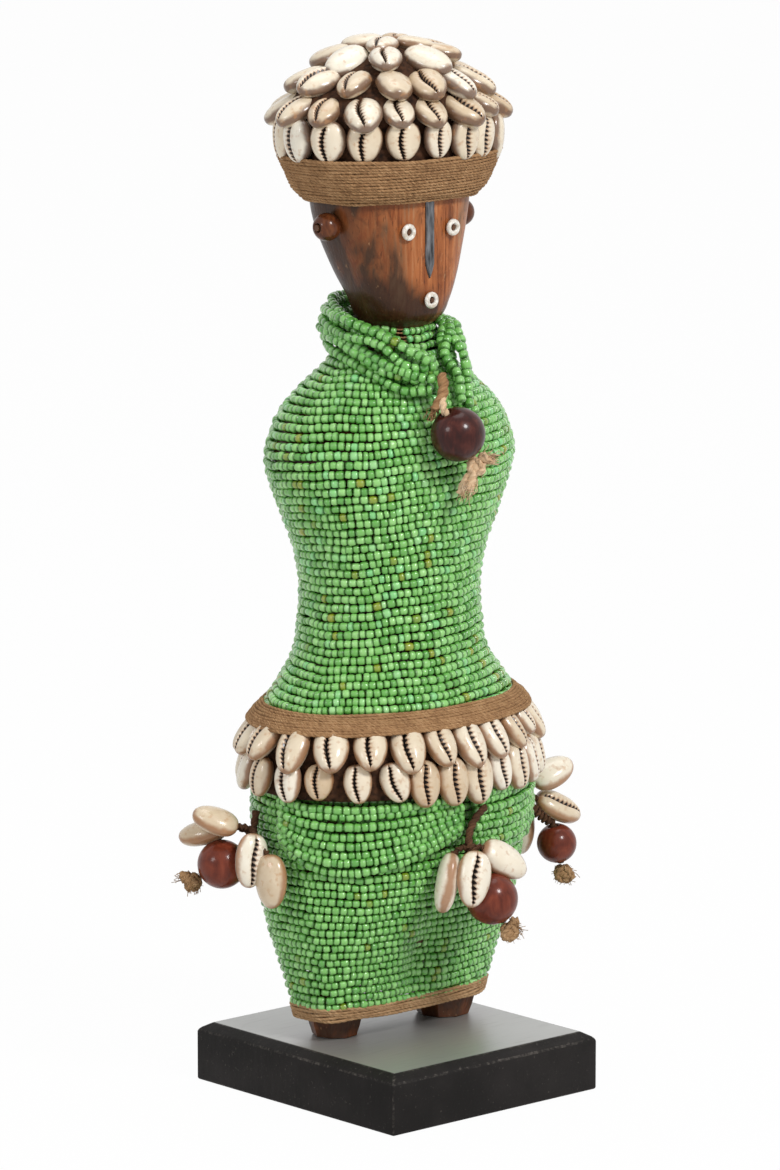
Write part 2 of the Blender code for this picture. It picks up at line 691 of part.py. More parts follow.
def make_belt(axis, looks):
    low = BELT_BAND[0][0] + BELT_TWINE / 2
    high = BELT_BAND[1][0] - BELT_TWINE / 2
    winding("belt_twine_band", BELT_BAND, low, high, BELT_TWINE_LOOPS, BELT_TWINE, axis, looks["twine"])
    layer = STRAND + GAP
    heights = np.linspace(BELT_BACKING_BOTTOM, BELT_BACKING_TOP, 3)
    rings = []
    for height, depth in [(h, BELT_BACKING_INSET) for h in heights] + [(h, layer) for h in heights[::-1]]:
        half_width, half_depth, squareness = inset(DRESS, height, depth)
        rings.append(outline_ring(height, half_width, half_depth, squareness, FIGURE_SIDES))
    loft("belt_backing", rings, axis, looks["fibre"], wrap=True)
    for name, row in zip(("upper", "lower"), BELT_ROWS):
        shell_row(f"belt_shell_row_{name}", *row, axis, looks["shell"])


def make_hanging(name, route, bead_place, bead_radius, shells, axis, looks):
    """A cord with cowries and a wooden bead on it, hung from a pivot at its top end."""
    pivot = empty(f"{name}_pivot", route[0], axis)
    centre = Vector(bead_place)
    through = (Vector(route[-1]) - centre).normalized()
    inside = centre - through * (bead_radius + CORD_RADIUS)
    outside = centre + through * (bead_radius + GAP)
    cord_look = looks["tan"] if name == "pendant" else looks["fibre"]
    upper = smooth_route(list(route[:-1]) + [tuple(inside)], CORD_STEP)
    tube(f"{name}_cord", upper + [centre, outside], CORD_RADIUS, 2, pivot, cord_look)
    spin = empty(f"{name}_bead_pivot", bead_place, axis)
    ball = bead_profile(bead_radius, CORD_RADIUS + GAP)
    turned(f"{name}_bead", ball, bead_place, through, BEAD_SIDES, spin, looks["maroon"])
    knot(f"{name}_knot", outside + through * (KNOT_RADIUS * KNOT_SEAT + GAP), pivot, looks["tan"])
    for i, (sewn, tip, facing) in enumerate(shells):
        flap = empty(f"{name}_shell_{i + 1}_pivot", sewn, axis)
        cowrie(f"{name}_shell_{i + 1}", sewn, tip, facing, flap, looks["shell"])


# Routes of the hanging cords, from hang point to end knot, and their cowries as sewn end, tip and facing
PENDANT_ROUTE = ((-0.0075, -0.0342, 0.2196), (-0.0110, -0.0382, 0.2195), (-0.0005, -0.0440, 0.1957))
PENDANT_BEAD = (-0.0080, -0.0425, 0.2075)
PENDANT_BEAD_RADIUS = 0.0090
RIGHT_ROUTE = ((-0.0529, 0.0072, 0.0800), (-0.0542, 0.0074, 0.0730), (-0.0555, 0.0079, 0.0690),
               (-0.0660, 0.0233, 0.0556))
RIGHT_BEAD = (-0.0610, 0.0153, 0.0617)
RIGHT_BEAD_RADIUS = 0.0082
RIGHT_SHELLS = (
    ((-0.0580, 0.0105, 0.0745), (-0.0690, 0.0190, 0.0793), (-0.3, -0.2, 1.0)),
    ((-0.0568, 0.0038, 0.0735), (-0.0605, 0.0026, 0.0570), (-0.7, -0.7, 0.0)),
    ((-0.0545, -0.0044, 0.0680), (-0.0555, -0.0069, 0.0510), (-1.0, -0.2, 0.0)),
    ((-0.0570, 0.0170, 0.0735), (-0.0665, 0.0290, 0.0695), (-0.5, 0.3, 1.0)),
)
FRONT_ROUTE = ((0.0015, -0.0379, 0.0830), (-0.0025, -0.0405, 0.0740), (0.0000, -0.0410, 0.0685),
               (-0.0010, -0.0425, 0.0640), (0.0080, -0.0490, 0.0410))
FRONT_BEAD = (0.0040, -0.0465, 0.0506)
FRONT_BEAD_RADIUS = 0.0087
FRONT_SHELLS = (
    ((-0.0035, -0.0462, 0.0680), (-0.0090, -0.0486, 0.0512), (-0.2, -1.0, 0.0)),
    ((-0.0075, -0.0393, 0.0668), (-0.0135, -0.0412, 0.0490), (-0.2, -1.0, 0.0)),
    ((0.0025, -0.0437, 0.0678), (0.0160, -0.0482, 0.0584), (0.2, -1.0, 0.3)),
)
LEFT_ROUTE = ((0.0530, -0.0074, 0.0800), (0.0543, -0.0083, 0.0740), (0.0560, -0.0105, 0.0680),
              (0.0600, -0.0130, 0.0638), (0.0660, -0.0145, 0.0460))
LEFT_BEAD = (0.0640, -0.0140, 0.0550)
LEFT_BEAD_RADIUS = 0.0068
LEFT_SHELLS = (
    ((0.0570, -0.0092, 0.0750), (0.0705, -0.0132, 0.0798), (0.0, -0.5, 1.0)),
    ((0.0588, -0.0094, 0.0713), (0.0724, -0.0147, 0.0641), (0.3, -0.6, 0.6)),
    ((0.0575, -0.0045, 0.0685), (0.0595, -0.0030, 0.0510), (1.0, 0.2, 0.0)),
)


def make_all():
    clear_scene()
    looks = {
        "black": material("black_paint", BLACK, 0.35),
        "wood": material("carved_wood", WOOD, 0.4),
        "green": material("green_beads", GREEN, 0.35),
        "shell": material("cowrie_shell", SHELL, 0.35),
        "twine": material("brown_twine", TWINE, 0.9),
        "tan": material("tan_twine", TAN, 0.9),
        "fibre": material("dark_fibre", FIBRE, 0.9),
        "maroon": material("bead_wood", MAROON, 0.25),
        "white": material("white_bead", WHITE, 0.3),
        "metal": material("grey_metal", METAL, 0.4, 1.0),
        "steel": material("screw_steel", STEEL, 0.35, 1.0),
    }
    make_plinth(looks)
    make_screws(looks)
    axis = empty("figure_axis", (FIGURE_X, FIGURE_Y, PLINTH_HEIGHT))
    make_figure(axis, looks)
    make_face(axis, looks)
    make_cap(axis, looks)
    make_dress(axis, looks)
    make_belt(axis, looks)
    make_hanging("pendant", PENDANT_ROUTE, PENDANT_BEAD, PENDANT_BEAD_RADIUS, (), axis, looks)
    make_hanging("right_tassel", RIGHT_ROUTE, RIGHT_BEAD, RIGHT_BEAD_RADIUS, RIGHT_SHELLS, axis, looks)
    make_hanging("front_tassel", FRONT_ROUTE, FRONT_BEAD, FRONT_BEAD_RADIUS, FRONT_SHELLS, axis, looks)
    make_hanging("left_tassel", LEFT_ROUTE, LEFT_BEAD, LEFT_BEAD_RADIUS, LEFT_SHELLS, axis, looks)


make_all()
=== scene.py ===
"""The beaded doll as it looks: glass bead strands, cowries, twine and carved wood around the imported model."""

import math

import bpy
import numpy as np
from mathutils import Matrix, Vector


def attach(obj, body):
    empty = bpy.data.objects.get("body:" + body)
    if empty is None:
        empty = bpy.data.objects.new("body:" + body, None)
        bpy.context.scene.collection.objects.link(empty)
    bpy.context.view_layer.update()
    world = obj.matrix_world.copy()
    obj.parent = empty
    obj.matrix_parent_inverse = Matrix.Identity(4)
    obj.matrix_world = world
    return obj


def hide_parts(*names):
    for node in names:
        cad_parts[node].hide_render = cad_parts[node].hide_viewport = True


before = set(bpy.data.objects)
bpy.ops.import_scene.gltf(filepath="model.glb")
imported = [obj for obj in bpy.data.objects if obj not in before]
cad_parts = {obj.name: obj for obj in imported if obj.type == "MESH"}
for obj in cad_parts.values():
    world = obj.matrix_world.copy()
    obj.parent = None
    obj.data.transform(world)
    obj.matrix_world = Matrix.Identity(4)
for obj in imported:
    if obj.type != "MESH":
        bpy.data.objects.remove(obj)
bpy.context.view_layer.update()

# The figure stands on the plinth, a little off its middle.
FIGURE = np.array((0.0017, 0.0052, 0.0200))

# Camera
CAMERA_PLACE = (-1.4294, -1.5967, 0.5670)
CAMERA_TILT = 79.543
CAMERA_TURN = -41.78
CAMERA_LENS = 201.2
SENSOR_HEIGHT = 36.0

lens = bpy.data.cameras.new("camera")
lens.sensor_fit = "VERTICAL"
lens.sensor_height = SENSOR_HEIGHT
lens.lens = CAMERA_LENS
camera = bpy.data.objects.new("camera", lens)
camera.location = CAMERA_PLACE
camera.rotation_euler = (math.radians(CAMERA_TILT), 0, math.radians(CAMERA_TURN))
bpy.context.collection.objects.link(camera)
bpy.context.scene.camera = camera
bpy.context.scene.view_settings.view_transform = "Standard"


def shade(red, green, blue):
    """A colour as it is seen on a screen, as the linear colour that a socket takes."""
    seen = np.array((red, green, blue)) / 255
    return (*np.where(seen <= 0.04045, seen / 12.92, ((seen + 0.055) / 1.055) ** 2.4), 1)


class Wire:
    """A value in a node tree. Sums with numbers and other wires add their Math nodes."""

    def __init__(self, nodes, socket):
        self.nodes = nodes
        self.socket = socket

    def reckon(self, operation, first, second):
        return self.nodes.node("ShaderNodeMath", {"operation": operation}, {0: first, 1: second})

    def __add__(self, other):
        return self.reckon("ADD", self, other)

    def __sub__(self, other):
        return self.reckon("SUBTRACT", self, other)

    def __rsub__(self, other):
        return self.reckon("SUBTRACT", other, self)

    def __mul__(self, other):
        return self.reckon("MULTIPLY", self, other)


class Nodes:
    """A node tree, with one method that adds any node."""

    def __init__(self, tree):
        self.tree = tree

    def link(self, value, socket):
        if isinstance(value, Wire):
            self.tree.links.new(value.socket, socket)
        else:
            socket.default_value = value

    def node(self, kind, settings, inputs, output=0):
        made = self.tree.nodes.new(kind)
        for name, value in settings.items():
            setattr(made, name, value)
        for name, value in inputs.items():
            self.link(value, made.inputs[name])
        return Wire(self, made.outputs[output])

    def shown(self):
        """1 for what the camera sees, straight, mirrored or through glass."""
        kinds = ("Is Camera Ray", "Is Glossy Ray", "Is Transmission Ray")
        seen, mirrored, through = (self.node("ShaderNodeLightPath", {}, {}, kind) for kind in kinds)
        return seen.reckon("MAXIMUM", seen, mirrored.reckon("MAXIMUM", mirrored, through))


class Finish(Nodes):
    """A material with one principled shader, whose constants are set on its own sockets."""

    def __init__(self, name, constants):
        self.material = bpy.data.materials.new(name)
        self.material.use_nodes = True
        super().__init__(self.material.node_tree)
        self.shader = self.tree.nodes["Principled BSDF"]
        for socket, value in constants.items():
            self.shader.inputs[socket].default_value = value

    def own(self, name, output="Fac"):
        """A value that the piece carries on its points."""
        return self.node("ShaderNodeAttribute", {"attribute_name": name}, {}, output)

    def noise(self, fineness, detail=3.0, distortion=0.0, vector=None):
        """Noise over the surface's own place in metres, or over another vector, as fine as given each way."""
        if vector is None:
            vector = self.node("ShaderNodeTexCoord", {}, {}, "Object")
        stretch = tuple(np.broadcast_to(fineness, 3))
        stretched = self.node("ShaderNodeMapping", {}, {"Vector": vector, "Scale": stretch})
        inputs = {"Vector": stretched, "Scale": 1.0, "Detail": detail, "Distortion": distortion}
        return self.node("ShaderNodeTexNoise", {}, inputs)

    def ramp(self, value, stops):
        """Colours between stops, each a place and a colour as it is seen."""
        made = self.node("ShaderNodeValToRGB", {}, {"Fac": value})
        elements = made.socket.node.color_ramp.elements
        while len(elements) < len(stops):
            elements.new(0.5)
        for element, (place, colour) in zip(elements, stops):
            element.position = place
            element.color = shade(*colour)
        return made

    def level(self, value, low, high):
        """0 below low, 1 above high, and smooth between."""
        inputs = {"Value": value, "From Min": low, "From Max": high}
        return self.node("ShaderNodeMapRange", {"interpolation_type": "SMOOTHSTEP"}, inputs)

    def mix(self, factor, first, second):
        """One colour over another. Each is a wire, or a colour as it is seen."""
        first, second = (c if isinstance(c, Wire) else shade(*c) for c in (first, second))
        return self.node("ShaderNodeMix", {"data_type": "RGBA"}, {0: factor, 6: first, 7: second}, 2)

    def feed(self, socket, value):
        self.link(value, self.shader.inputs[socket])

    def done(self, colour, height, depth, strength, roughness=None):
        """The material, with its colour, its relief and, where it varies, its roughness."""
        self.feed("Base Color", colour)
        relief = {"Height": height, "Distance": depth, "Strength": strength}
        self.feed("Normal", self.node("ShaderNodeBump", {}, relief))
        if roughness is not None:
            self.feed("Roughness", roughness)
        return self.material


def make_bead_finish():
    gloss = {"Specular IOR Level": 0.3, "Coat Weight": 0.95, "Coat Roughness": 0.10}
    finish = Finish("green_glass_beads", gloss)
    body = finish.ramp(finish.own("tone"), (
        (0.00, (146, 156, 34)),
        (0.028, (124, 152, 36)),
        (0.036, (84, 158, 62)),
        (0.14, (102, 172, 74)),
        (0.50, (129, 195, 101)),
        (0.88, (152, 211, 124)),
        (0.96, (124, 204, 126)),
        (1.00, (160, 214, 140)),
    ))
    swirl = finish.noise(420, 2.0)
    dim = finish.mix(finish.level(swirl, 0.42, 0.75) * 0.3, body, (86, 160, 62))
    # Painted shade: each bead darkens towards its ends, where it meets the next bead.
    painted_end_shade = finish.level(finish.own("end"), 0.10, 0.95)
    colour = finish.mix(painted_end_shade * 0.60, dim, (24, 68, 8))
    return finish.done(colour, finish.noise(900, 2.0), 0.0002, 0.35, swirl * 0.22 + 0.20)


def make_cowrie_finish():
    """Cream shell, stained brown towards its rim and between its teeth. Near black in the slit and the gaps
    between its teeth: painted shade of the hollow inside. The stain is darker on crowded shells: grime,
    and painted shade between them.
    """
    finish = Finish("cowrie_shell", {"Specular IOR Level": 0.35, "Coat Weight": 0.3, "Coat Roughness": 0.12})
    slit = finish.own("slit")
    darkening = finish.own("darkening")
    cloud = finish.noise(190, 4.0)
    tone = finish.own("tone") + (cloud - 0.5) * 0.6
    cream = finish.ramp(tone, ((0.0, (200, 176, 144)), (0.5, (226, 211, 186)), (1.0, (238, 230, 213))))
    # Brown stain towards the rim. The darkening value, highest on the crowded cap, deepens and darkens it:
    # grime, and painted shade between the shells.
    stain = finish.level(finish.own("rim") + (cloud - 0.5) * 0.9 + darkening * 0.10, 0.40, 0.92)
    edged = finish.mix(stain * 0.86, cream, finish.mix(darkening, (184, 126, 76), (96, 56, 28)))
    freckle = finish.level(finish.noise(420, 3.0), 0.54, 0.74)
    freckled = finish.mix(freckle * 0.5, edged, (184, 132, 84))
    toothed = finish.mix(finish.level(slit, 0.08, 0.40) * 0.6, freckled, (164, 112, 70))
    # Painted shade: near black in the slit and the gaps between the teeth beside it, for the shade inside the
    # hollow shell.
    colour = finish.mix(finish.level(slit, 0.42, 0.72), toothed, (24, 13, 8))
    dull = finish.level(slit, 0.3, 0.8) * 0.5 + cloud * 0.25 + 0.12
    return finish.done(colour, cloud, 0.0003, 0.25, dull)


def make_fibre_finish(name, dark, middle, light):
    """Twisted plant fibre: streaks run along the twine."""
    finish = Finish(name, {"Roughness": 0.85, "Specular IOR Level": 0.25})
    streak = finish.noise((350, 2600, 2600), 3.0, vector=finish.own("fibre", "Vector"))
    patch = finish.noise(120, 3.0)
    colour = finish.ramp(streak * 0.7 + patch * 0.3, ((0.28, dark), (0.5, middle), (0.74, light)))
    return finish.done(colour, streak, 0.0004, 0.8)


def make_dark_fibre_finish():
    finish = Finish("dark_fibre", {"Roughness": 0.9, "Specular IOR Level": 0.2})
    tuft = finish.noise(520, 5.0)
    return finish.done(finish.ramp(tuft, ((0.3, (32, 20, 13)), (0.7, (82, 53, 35)))), tuft, 0.0008, 0.9)


def make_head_finish():
    """Oiled carved wood: upright grain, orange on the face and near black at the sides and chin:
    the wood's own stain, and painted shade.
    """
    finish = Finish("carved_wood", {"Specular IOR Level": 0.12, "Coat Weight": 0.22, "Coat Roughness": 0.18})
    warp = finish.noise((95, 95, 34), 5.0, 0.5)
    grain = finish.noise((430, 430, 30), 5.0, 1.3)
    pore = finish.noise((1300, 1300, 240), 2.0)
    wood = finish.ramp(grain * 0.42 + warp * 0.58, (
        (0.32, (62, 31, 15)),
        (0.44, (128, 68, 34)),
        (0.55, (174, 105, 60)),
        (0.68, (212, 156, 112)),
    ))
    # Near black where the stain-and-shade value is high: the wood's own stain, and painted shade at the sides,
    # the back and under the chin.
    stain_and_shade = finish.own("stain_and_shade") + (warp - 0.5) * 2.6 + (grain - 0.5) * 0.7
    stained = finish.mix(finish.level(stain_and_shade, 0.15, 1.0) * 0.92, wood, (38, 22, 13))
    patch = finish.level(finish.noise((210, 210, 120), 4.0, 0.8), 0.53, 0.72)
    mottled = finish.mix(patch * 0.5, stained, (62, 34, 20))
    pored = finish.mix(finish.level(pore, 0.60, 0.72) * 0.5, mottled, (40, 22, 13))
    nick = finish.level(finish.noise((620, 620, 300), 3.0), 0.66, 0.78)
    colour = finish.mix(nick * 0.4, pored, (204, 156, 112))
    return finish.done(colour, grain * 0.6 + pore * 0.4, 0.0005, 0.5, grain * 0.35 + 0.22)


def make_turned_finish(name, dark, middle, light):
    """Turned hardwood beads, stained and polished."""
    finish = Finish(name, {"Specular IOR Level": 0.08, "Coat Weight": 0.36, "Coat Roughness": 0.16})
    grain = finish.noise((210, 210, 120), 4.0, 1.2)
    fleck = finish.noise((900, 900, 260), 2.0)
    colour = finish.ramp(grain * 0.75 + fleck * 0.25, ((0.3, dark), (0.52, middle), (0.75, light)))
    return finish.done(colour, fleck, 0.0002, 0.3, fleck * 0.25 + 0.22)


def make_plinth_finish():
    """Black paint, polished on top, rubbed grey along the edges and specked with dust. The top is painted
    lighter grey as a painted reflection of the white surroundings.
    """
    finish = Finish("black_paint", {"Specular IOR Level": 0.12, "Coat Roughness": 0.36, "Coat IOR": 2.8})
    top = finish.own("top")
    speck = finish.noise(900, 3.0)
    cloud = finish.noise(46, 4.0)
    scuff = finish.noise((90, 700, 90), 3.0)
    paint = finish.mix(finish.level(cloud, 0.35, 0.7), (26, 24, 23), (38, 35, 34))
    dusty = finish.mix(finish.level(speck, 0.62, 0.78) * 0.30, paint, (104, 98, 92))
    # Painted reflection: the polished top is painted a lighter grey, for the white surroundings it reflects.
    top_painted_reflection = finish.mix(top * 0.8, dusty, (150, 149, 146))
    worn = finish.level(finish.own("rub") * 0.5 + speck * 0.4 + cloud * 0.4, 0.84, 1.1)
    colour = finish.mix(worn * 0.6, top_painted_reflection, (112, 106, 100))
    finish.feed("Coat Weight", top * (0.95 - finish.level(scuff, 0.55, 0.8) * 0.25))
    dull = 0.62 - top * 0.2 + (scuff - 0.5) * 0.18
    return finish.done(colour, speck * 0.5 + cloud * 0.5, 0.0003, 0.35, dull)


def make_ring_finish():
    finish = Finish("white_bead", {"Roughness": 0.35, "Coat Weight": 0.2})
    darkening = finish.noise(900, 3.0)
    colour = finish.ramp(darkening, ((0.35, (196, 184, 166)), (0.6, (238, 234, 226))))
    return finish.done(colour, darkening, 0.0001, 0.4)


def make_metal_finish(name, dark, light, roughness):
    finish = Finish(name, {"Metallic": 0.85})
    scratch = finish.noise((900, 900, 160), 3.0)
    colour = finish.ramp(scratch, ((0.3, dark), (0.7, light)))
    return finish.done(colour, scratch, 0.0001, 0.4, scratch * 0.3 + roughness)


BEAD_GLASS = make_bead_finish()
COWRIE = make_cowrie_finish()
BROWN_TWINE = make_fibre_finish("brown_twine", (96, 66, 41), (160, 121, 83), (202, 164, 122))
TAN_TWINE = make_fibre_finish("tan_twine", (176, 138, 100), (220, 186, 148), (242, 220, 190))
GREY_TWINE = make_fibre_finish("grey_twine", (122, 92, 60), (166, 130, 92), (204, 172, 134))
DARK_CORD = make_fibre_finish("dark_cord", (40, 25, 16), (82, 54, 36), (124, 88, 60))
DARK_FIBRE = make_dark_fibre_finish()
HEAD_WOOD = make_head_finish()
MAROON_WOOD = make_turned_finish("maroon_bead_wood", (36, 12, 10), (60, 22, 17), (92, 44, 34))
RED_WOOD = make_turned_finish("red_bead_wood", (82, 32, 20), (108, 46, 29), (132, 63, 42))
EAR_WOOD = make_turned_finish("ear_bead_wood", (44, 21, 11), (86, 44, 22), (132, 76, 40))
PEG_WOOD = make_turned_finish("peg_wood", (48, 28, 18), (94, 62, 40), (128, 92, 62))
PLINTH_PAINT = make_plinth_finish()
RING_WHITE = make_ring_finish()
NOSE_METAL = make_metal_finish("grey_metal", (44, 46, 48), (128, 130, 134), 0.24)
SCREW_STEEL = make_metal_finish("screw_steel", (120, 118, 112), (170, 168, 160), 0.25)

# Figure: height, half width, half depth and squareness of the beaded dress, from the hem to the neck
DRESS = (
    (0.012, 0.0392, 0.0158, 3.2),
    (0.025, 0.0428, 0.0200, 3.0),
    (0.040, 0.0470, 0.0270, 2.6),
    (0.060, 0.0495, 0.0347, 2.3),
    (0.080, 0.0514, 0.0370, 2.2),
    (0.095, 0.0500, 0.0360, 2.1),
    (0.108, 0.0495, 0.0350, 2.1),
    (0.114, 0.0475, 0.0343, 2.0),
    (0.120, 0.0429, 0.0322, 2.0),
    (0.128, 0.0363, 0.0297, 2.0),
    (0.140, 0.0330, 0.0290, 2.0),
    (0.152, 0.0320, 0.0288, 2.0),
    (0.164, 0.0343, 0.0302, 2.0),
    (0.176, 0.0392, 0.0326, 2.0),
    (0.188, 0.0446, 0.0348, 2.0),
    (0.196, 0.0464, 0.0358, 2.0),
    (0.204, 0.0442, 0.0344, 2.0),
    (0.212, 0.0397, 0.0318, 2.0),
    (0.220, 0.0310, 0.0263, 2.0),
    (0.226, 0.0235, 0.0212, 2.0),
    (0.232, 0.0180, 0.0170, 2.0),
    (0.2385, 0.0158, 0.0150, 2.0),
)
# Head: height, half width, front, back and squareness, from the chin to under the cap
HEAD = (
    (0.238, 0.0118, -0.0125, 0.0100, 2.0),
    (0.242, 0.0140, -0.0172, 0.0092, 2.4),
    (0.248, 0.0163, -0.0193, 0.0102, 2.6),
    (0.256, 0.0199, -0.0195, 0.0130, 2.8),
    (0.264, 0.0229, -0.0195, 0.0160, 2.8),
    (0.272, 0.0255, -0.0195, 0.0185, 2.8),
    (0.280, 0.0273, -0.0195, 0.0195, 2.8),
    (0.292, 0.0275, -0.0195, 0.0195, 2.8),
    (0.296, 0.0265, -0.0185, 0.0185, 2.8),
)
SLOPE_STEP = 0.001
GAP = 0.0003


def along(stations, height):
    """Each column of a station table at these heights, on a smooth curve through the stations."""
    table = np.array(stations)
    heights = table[:, 0]
    values = table[:, 1:]
    slopes = np.gradient(values, heights, axis=0)
    low = np.clip(np.searchsorted(heights, height) - 1, 0, len(heights) - 2)
    step = (heights[low + 1] - heights[low])[..., None]
    t = np.clip((np.asarray(height)[..., None] - heights[low][..., None]) / step, 0.0, 1.0)
    start = (2 * t**3 - 3 * t**2 + 1) * values[low] + (t**3 - 2 * t**2 + t) * step * slopes[low]
    end = (3 * t**2 - 2 * t**3) * values[low + 1] + (t**3 - t**2) * step * slopes[low + 1]
    return np.moveaxis(start + end, -1, 0)


def inset(stations, height, depth):
    """The outline at these heights, moved in by a depth that is measured square to the surface."""
    moved = along(stations, height)
    slope = (along(stations, height + SLOPE_STEP) - along(stations, height - SLOPE_STEP)) / (2 * SLOPE_STEP)
    moved[:2] -= depth * np.sqrt(1 + slope[:2] ** 2)
    return moved


def round_points(angles, half_width, half_depth, squareness=2.0):
    """Points of a superellipse, with angle 0 at +X."""
    power = 2.0 / squareness
    x = half_width * np.sign(np.cos(angles)) * np.abs(np.cos(angles)) ** power
    y = half_depth * np.sign(np.sin(angles)) * np.abs(np.sin(angles)) ** power
    return np.stack([x, y], axis=-1)


def around(count):
    """Angles that divide a turn evenly."""
    return np.linspace(0, math.tau, count, endpoint=False)


def ring_at(heights, angles, half_width, half_depth, squareness=2.0):
    """Points of a superellipse at one height, or at a height for each angle."""
    flat = round_points(angles, half_width, half_depth, squareness)
    return np.column_stack([flat, np.broadcast_to(heights, len(angles))])


def laid(stations, heights, angles, depth=0.0):
    """Points on a station table's outline, moved in by a depth."""
    return ring_at(heights, angles, *inset(stations, heights, depth))


def travel(points):
    """How far along a line each of its points is."""
    steps = np.linalg.norm(np.diff(points, axis=0), axis=1)
    return np.concatenate([[0.0], np.cumsum(steps)])


def points_at(wanted, gone, line):
    """A line's points, or values that go with them, at distances along it."""
    return np.stack([np.interp(wanted, gone, line[:, k]) for k in range(3)], axis=1)


def even(points, step):
    """The same line with evenly spaced points."""
    gone = travel(points)
    return points_at(np.linspace(0, gone[-1], max(3, round(gone[-1] / step) + 1)), gone, points)


def smooth(route, step):
    """Evenly spaced points on a smooth curve through a route's own points."""
    spots = np.array(route, float)
    ends = np.vstack([2 * spots[0] - spots[1], spots, 2 * spots[-1] - spots[-2]])
    fine = []
    for a, b, c, d in zip(ends, ends[1:], ends[2:], ends[3:]):
        for t in np.linspace(0, 1, 12, endpoint=False):
            fine.append(0.5 * (2 * b + (c - a) * t + (2 * a - 5 * b + 4 * c - d) * t**2
                               + (3 * b - a - 3 * c + d) * t**3))
    fine.append(spots[-1])
    return even(np.array(fine), step)


def unit(vectors):
    vectors = np.asarray(vectors, float)
    return vectors / np.linalg.norm(vectors, axis=-1, keepdims=True)


def deselect():
    bpy.ops.object.select_all(action="DESELECT")


def keep(name, piece, material, nodes=(), body="doll"):
    """Names a finished piece, gives it its finish and its body, and hides the imported nodes that it stands
    for.
    """
    piece.name = name
    piece.data.name = name
    piece.data.materials.clear()
    piece.data.materials.append(material)
    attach(piece, body)
    if nodes:
        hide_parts(*nodes)
    return piece


def carry(mesh, carried):
    """Gives a mesh's points the values that its finish reads."""
    for name, values in carried.items():
        flat = values.ndim == 1
        layer = mesh.attributes.new(name, "FLOAT" if flat else "FLOAT_VECTOR", "POINT")
        layer.data.foreach_set("value" if flat else "vector", np.asarray(values, np.float32).ravel())


def mesh_piece(points, corners, starts, carried, sharp=None):
    """A mesh object from points, the corners of its faces, and values that its points carry."""
    mesh = bpy.data.meshes.new("piece")
    mesh.vertices.add(len(points))
    mesh.vertices.foreach_set("co", np.asarray(points + FIGURE, np.float32).ravel())
    mesh.loops.add(len(corners))
    mesh.loops.foreach_set("vertex_index", np.asarray(corners, np.int32))
    mesh.polygons.add(len(starts))
    mesh.polygons.foreach_set("loop_start", np.asarray(starts, np.int32))
    mesh.update(calc_edges=True)
    mesh.validate()
    carry(mesh, carried)
    piece = bpy.data.objects.new("piece", mesh)
    bpy.context.collection.objects.link(piece)
    deselect()
    piece.select_set(True)
    bpy.context.view_layer.objects.active = piece
    if sharp is None:
        bpy.ops.object.shade_smooth()
    else:
        bpy.ops.object.shade_smooth_by_angle(angle=math.radians(sharp))
    return piece


def skin_faces(rings, sides, closed):
    """Corners and starts of the quads between rings of points, with a flat cap on each open end."""
    ring = np.arange(rings if closed else rings - 1)[:, None] * sides
    side = np.arange(sides)[None, :]
    after = (ring + sides) % (rings * sides)
    beside = (side + 1) % sides
    corners = np.stack([ring + side, ring + beside, after + beside, after + side], -1).reshape(-1)
    starts = np.arange(0, len(corners), 4)
    if closed:
        return corners, starts
    low = np.arange(sides)[::-1]
    high = np.arange(sides) + (rings - 1) * sides
    ends = [len(corners), len(corners) + sides]
    return np.concatenate([corners, low, high]), np.concatenate([starts, ends])


def skin(rings, closed=False, carried=None, sharp=None):
    """A surface through rings of points that run anticlockwise seen from the far end."""
    rings = np.asarray(rings)
    corners, starts = skin_faces(len(rings), rings.shape[1], closed)
    return mesh_piece(rings.reshape(-1, 3), corners, starts, carried or {}, sharp)


def across_line(path):
    """Two directions across a line at each of its points, carried along without twisting."""
    ahead = unit(np.gradient(path, axis=0))
    spare = np.eye(3)[np.argmin(np.abs(ahead[0]))]
    across = [unit(np.cross(ahead[0], spare))]
    for direction in ahead[1:]:
        last = across[-1]
        across.append(unit(last - direction * np.dot(last, direction)))
    across = np.array(across)
    return across, np.cross(ahead, across)


def rope(path, radius, lay=0.0045, sides=8, depth=0.30):
    """Two-ply twine along a line, whose points carry the way that its fibres run."""
    across, up = across_line(path)
    gone = travel(path)
    turn = around(sides)
    lobes = radius * (1 - depth * (1 - np.abs(np.cos(turn))))
    angle = (turn[None, :] + (math.tau * gone / lay)[:, None])[..., None]
    outward = across[:, None, :] * np.cos(angle) + up[:, None, :] * np.sin(angle)
    rings = path[:, None, :] + outward * lobes[:, None]
    fibre = np.stack(np.broadcast_arrays(gone[:, None], radius * np.cos(turn), radius * np.sin(turn)), -1)
    return skin(rings, carried={"fibre": fibre.reshape(-1, 3)})


def join(pieces):
    deselect()
    for piece in pieces:
        piece.select_set(True)
    bpy.context.view_layer.objects.active = pieces[0]
    bpy.ops.object.join()
    return pieces[0]


def pick(piece, kind, wanted):
    """Goes into edit mode with only the wanted points or edges of a piece selected."""
    bpy.ops.object.mode_set(mode="EDIT")
    bpy.ops.mesh.select_mode(type=kind)
    bpy.ops.mesh.select_all(action="DESELECT")
    bpy.ops.object.mode_set(mode="OBJECT")
    for part in piece.data.edges if kind == "EDGE" else piece.data.vertices:
        part.select = wanted(part)
    bpy.ops.object.mode_set(mode="EDIT")


def take_shape(piece):
    """A modelled shape as plain points and faces, to be copied many times. The object itself goes."""
    mesh = piece.data
    points = np.empty(len(mesh.vertices) * 3, np.float32)
    mesh.vertices.foreach_get("co", points)
    corners = np.empty(len(mesh.loops), np.int32)
    mesh.loops.foreach_get("vertex_index", corners)
    starts = np.empty(len(mesh.polygons), np.int32)
    mesh.polygons.foreach_get("loop_start", starts)
    bpy.data.objects.remove(piece)
    return points.reshape(-1, 3).astype(float), corners, starts


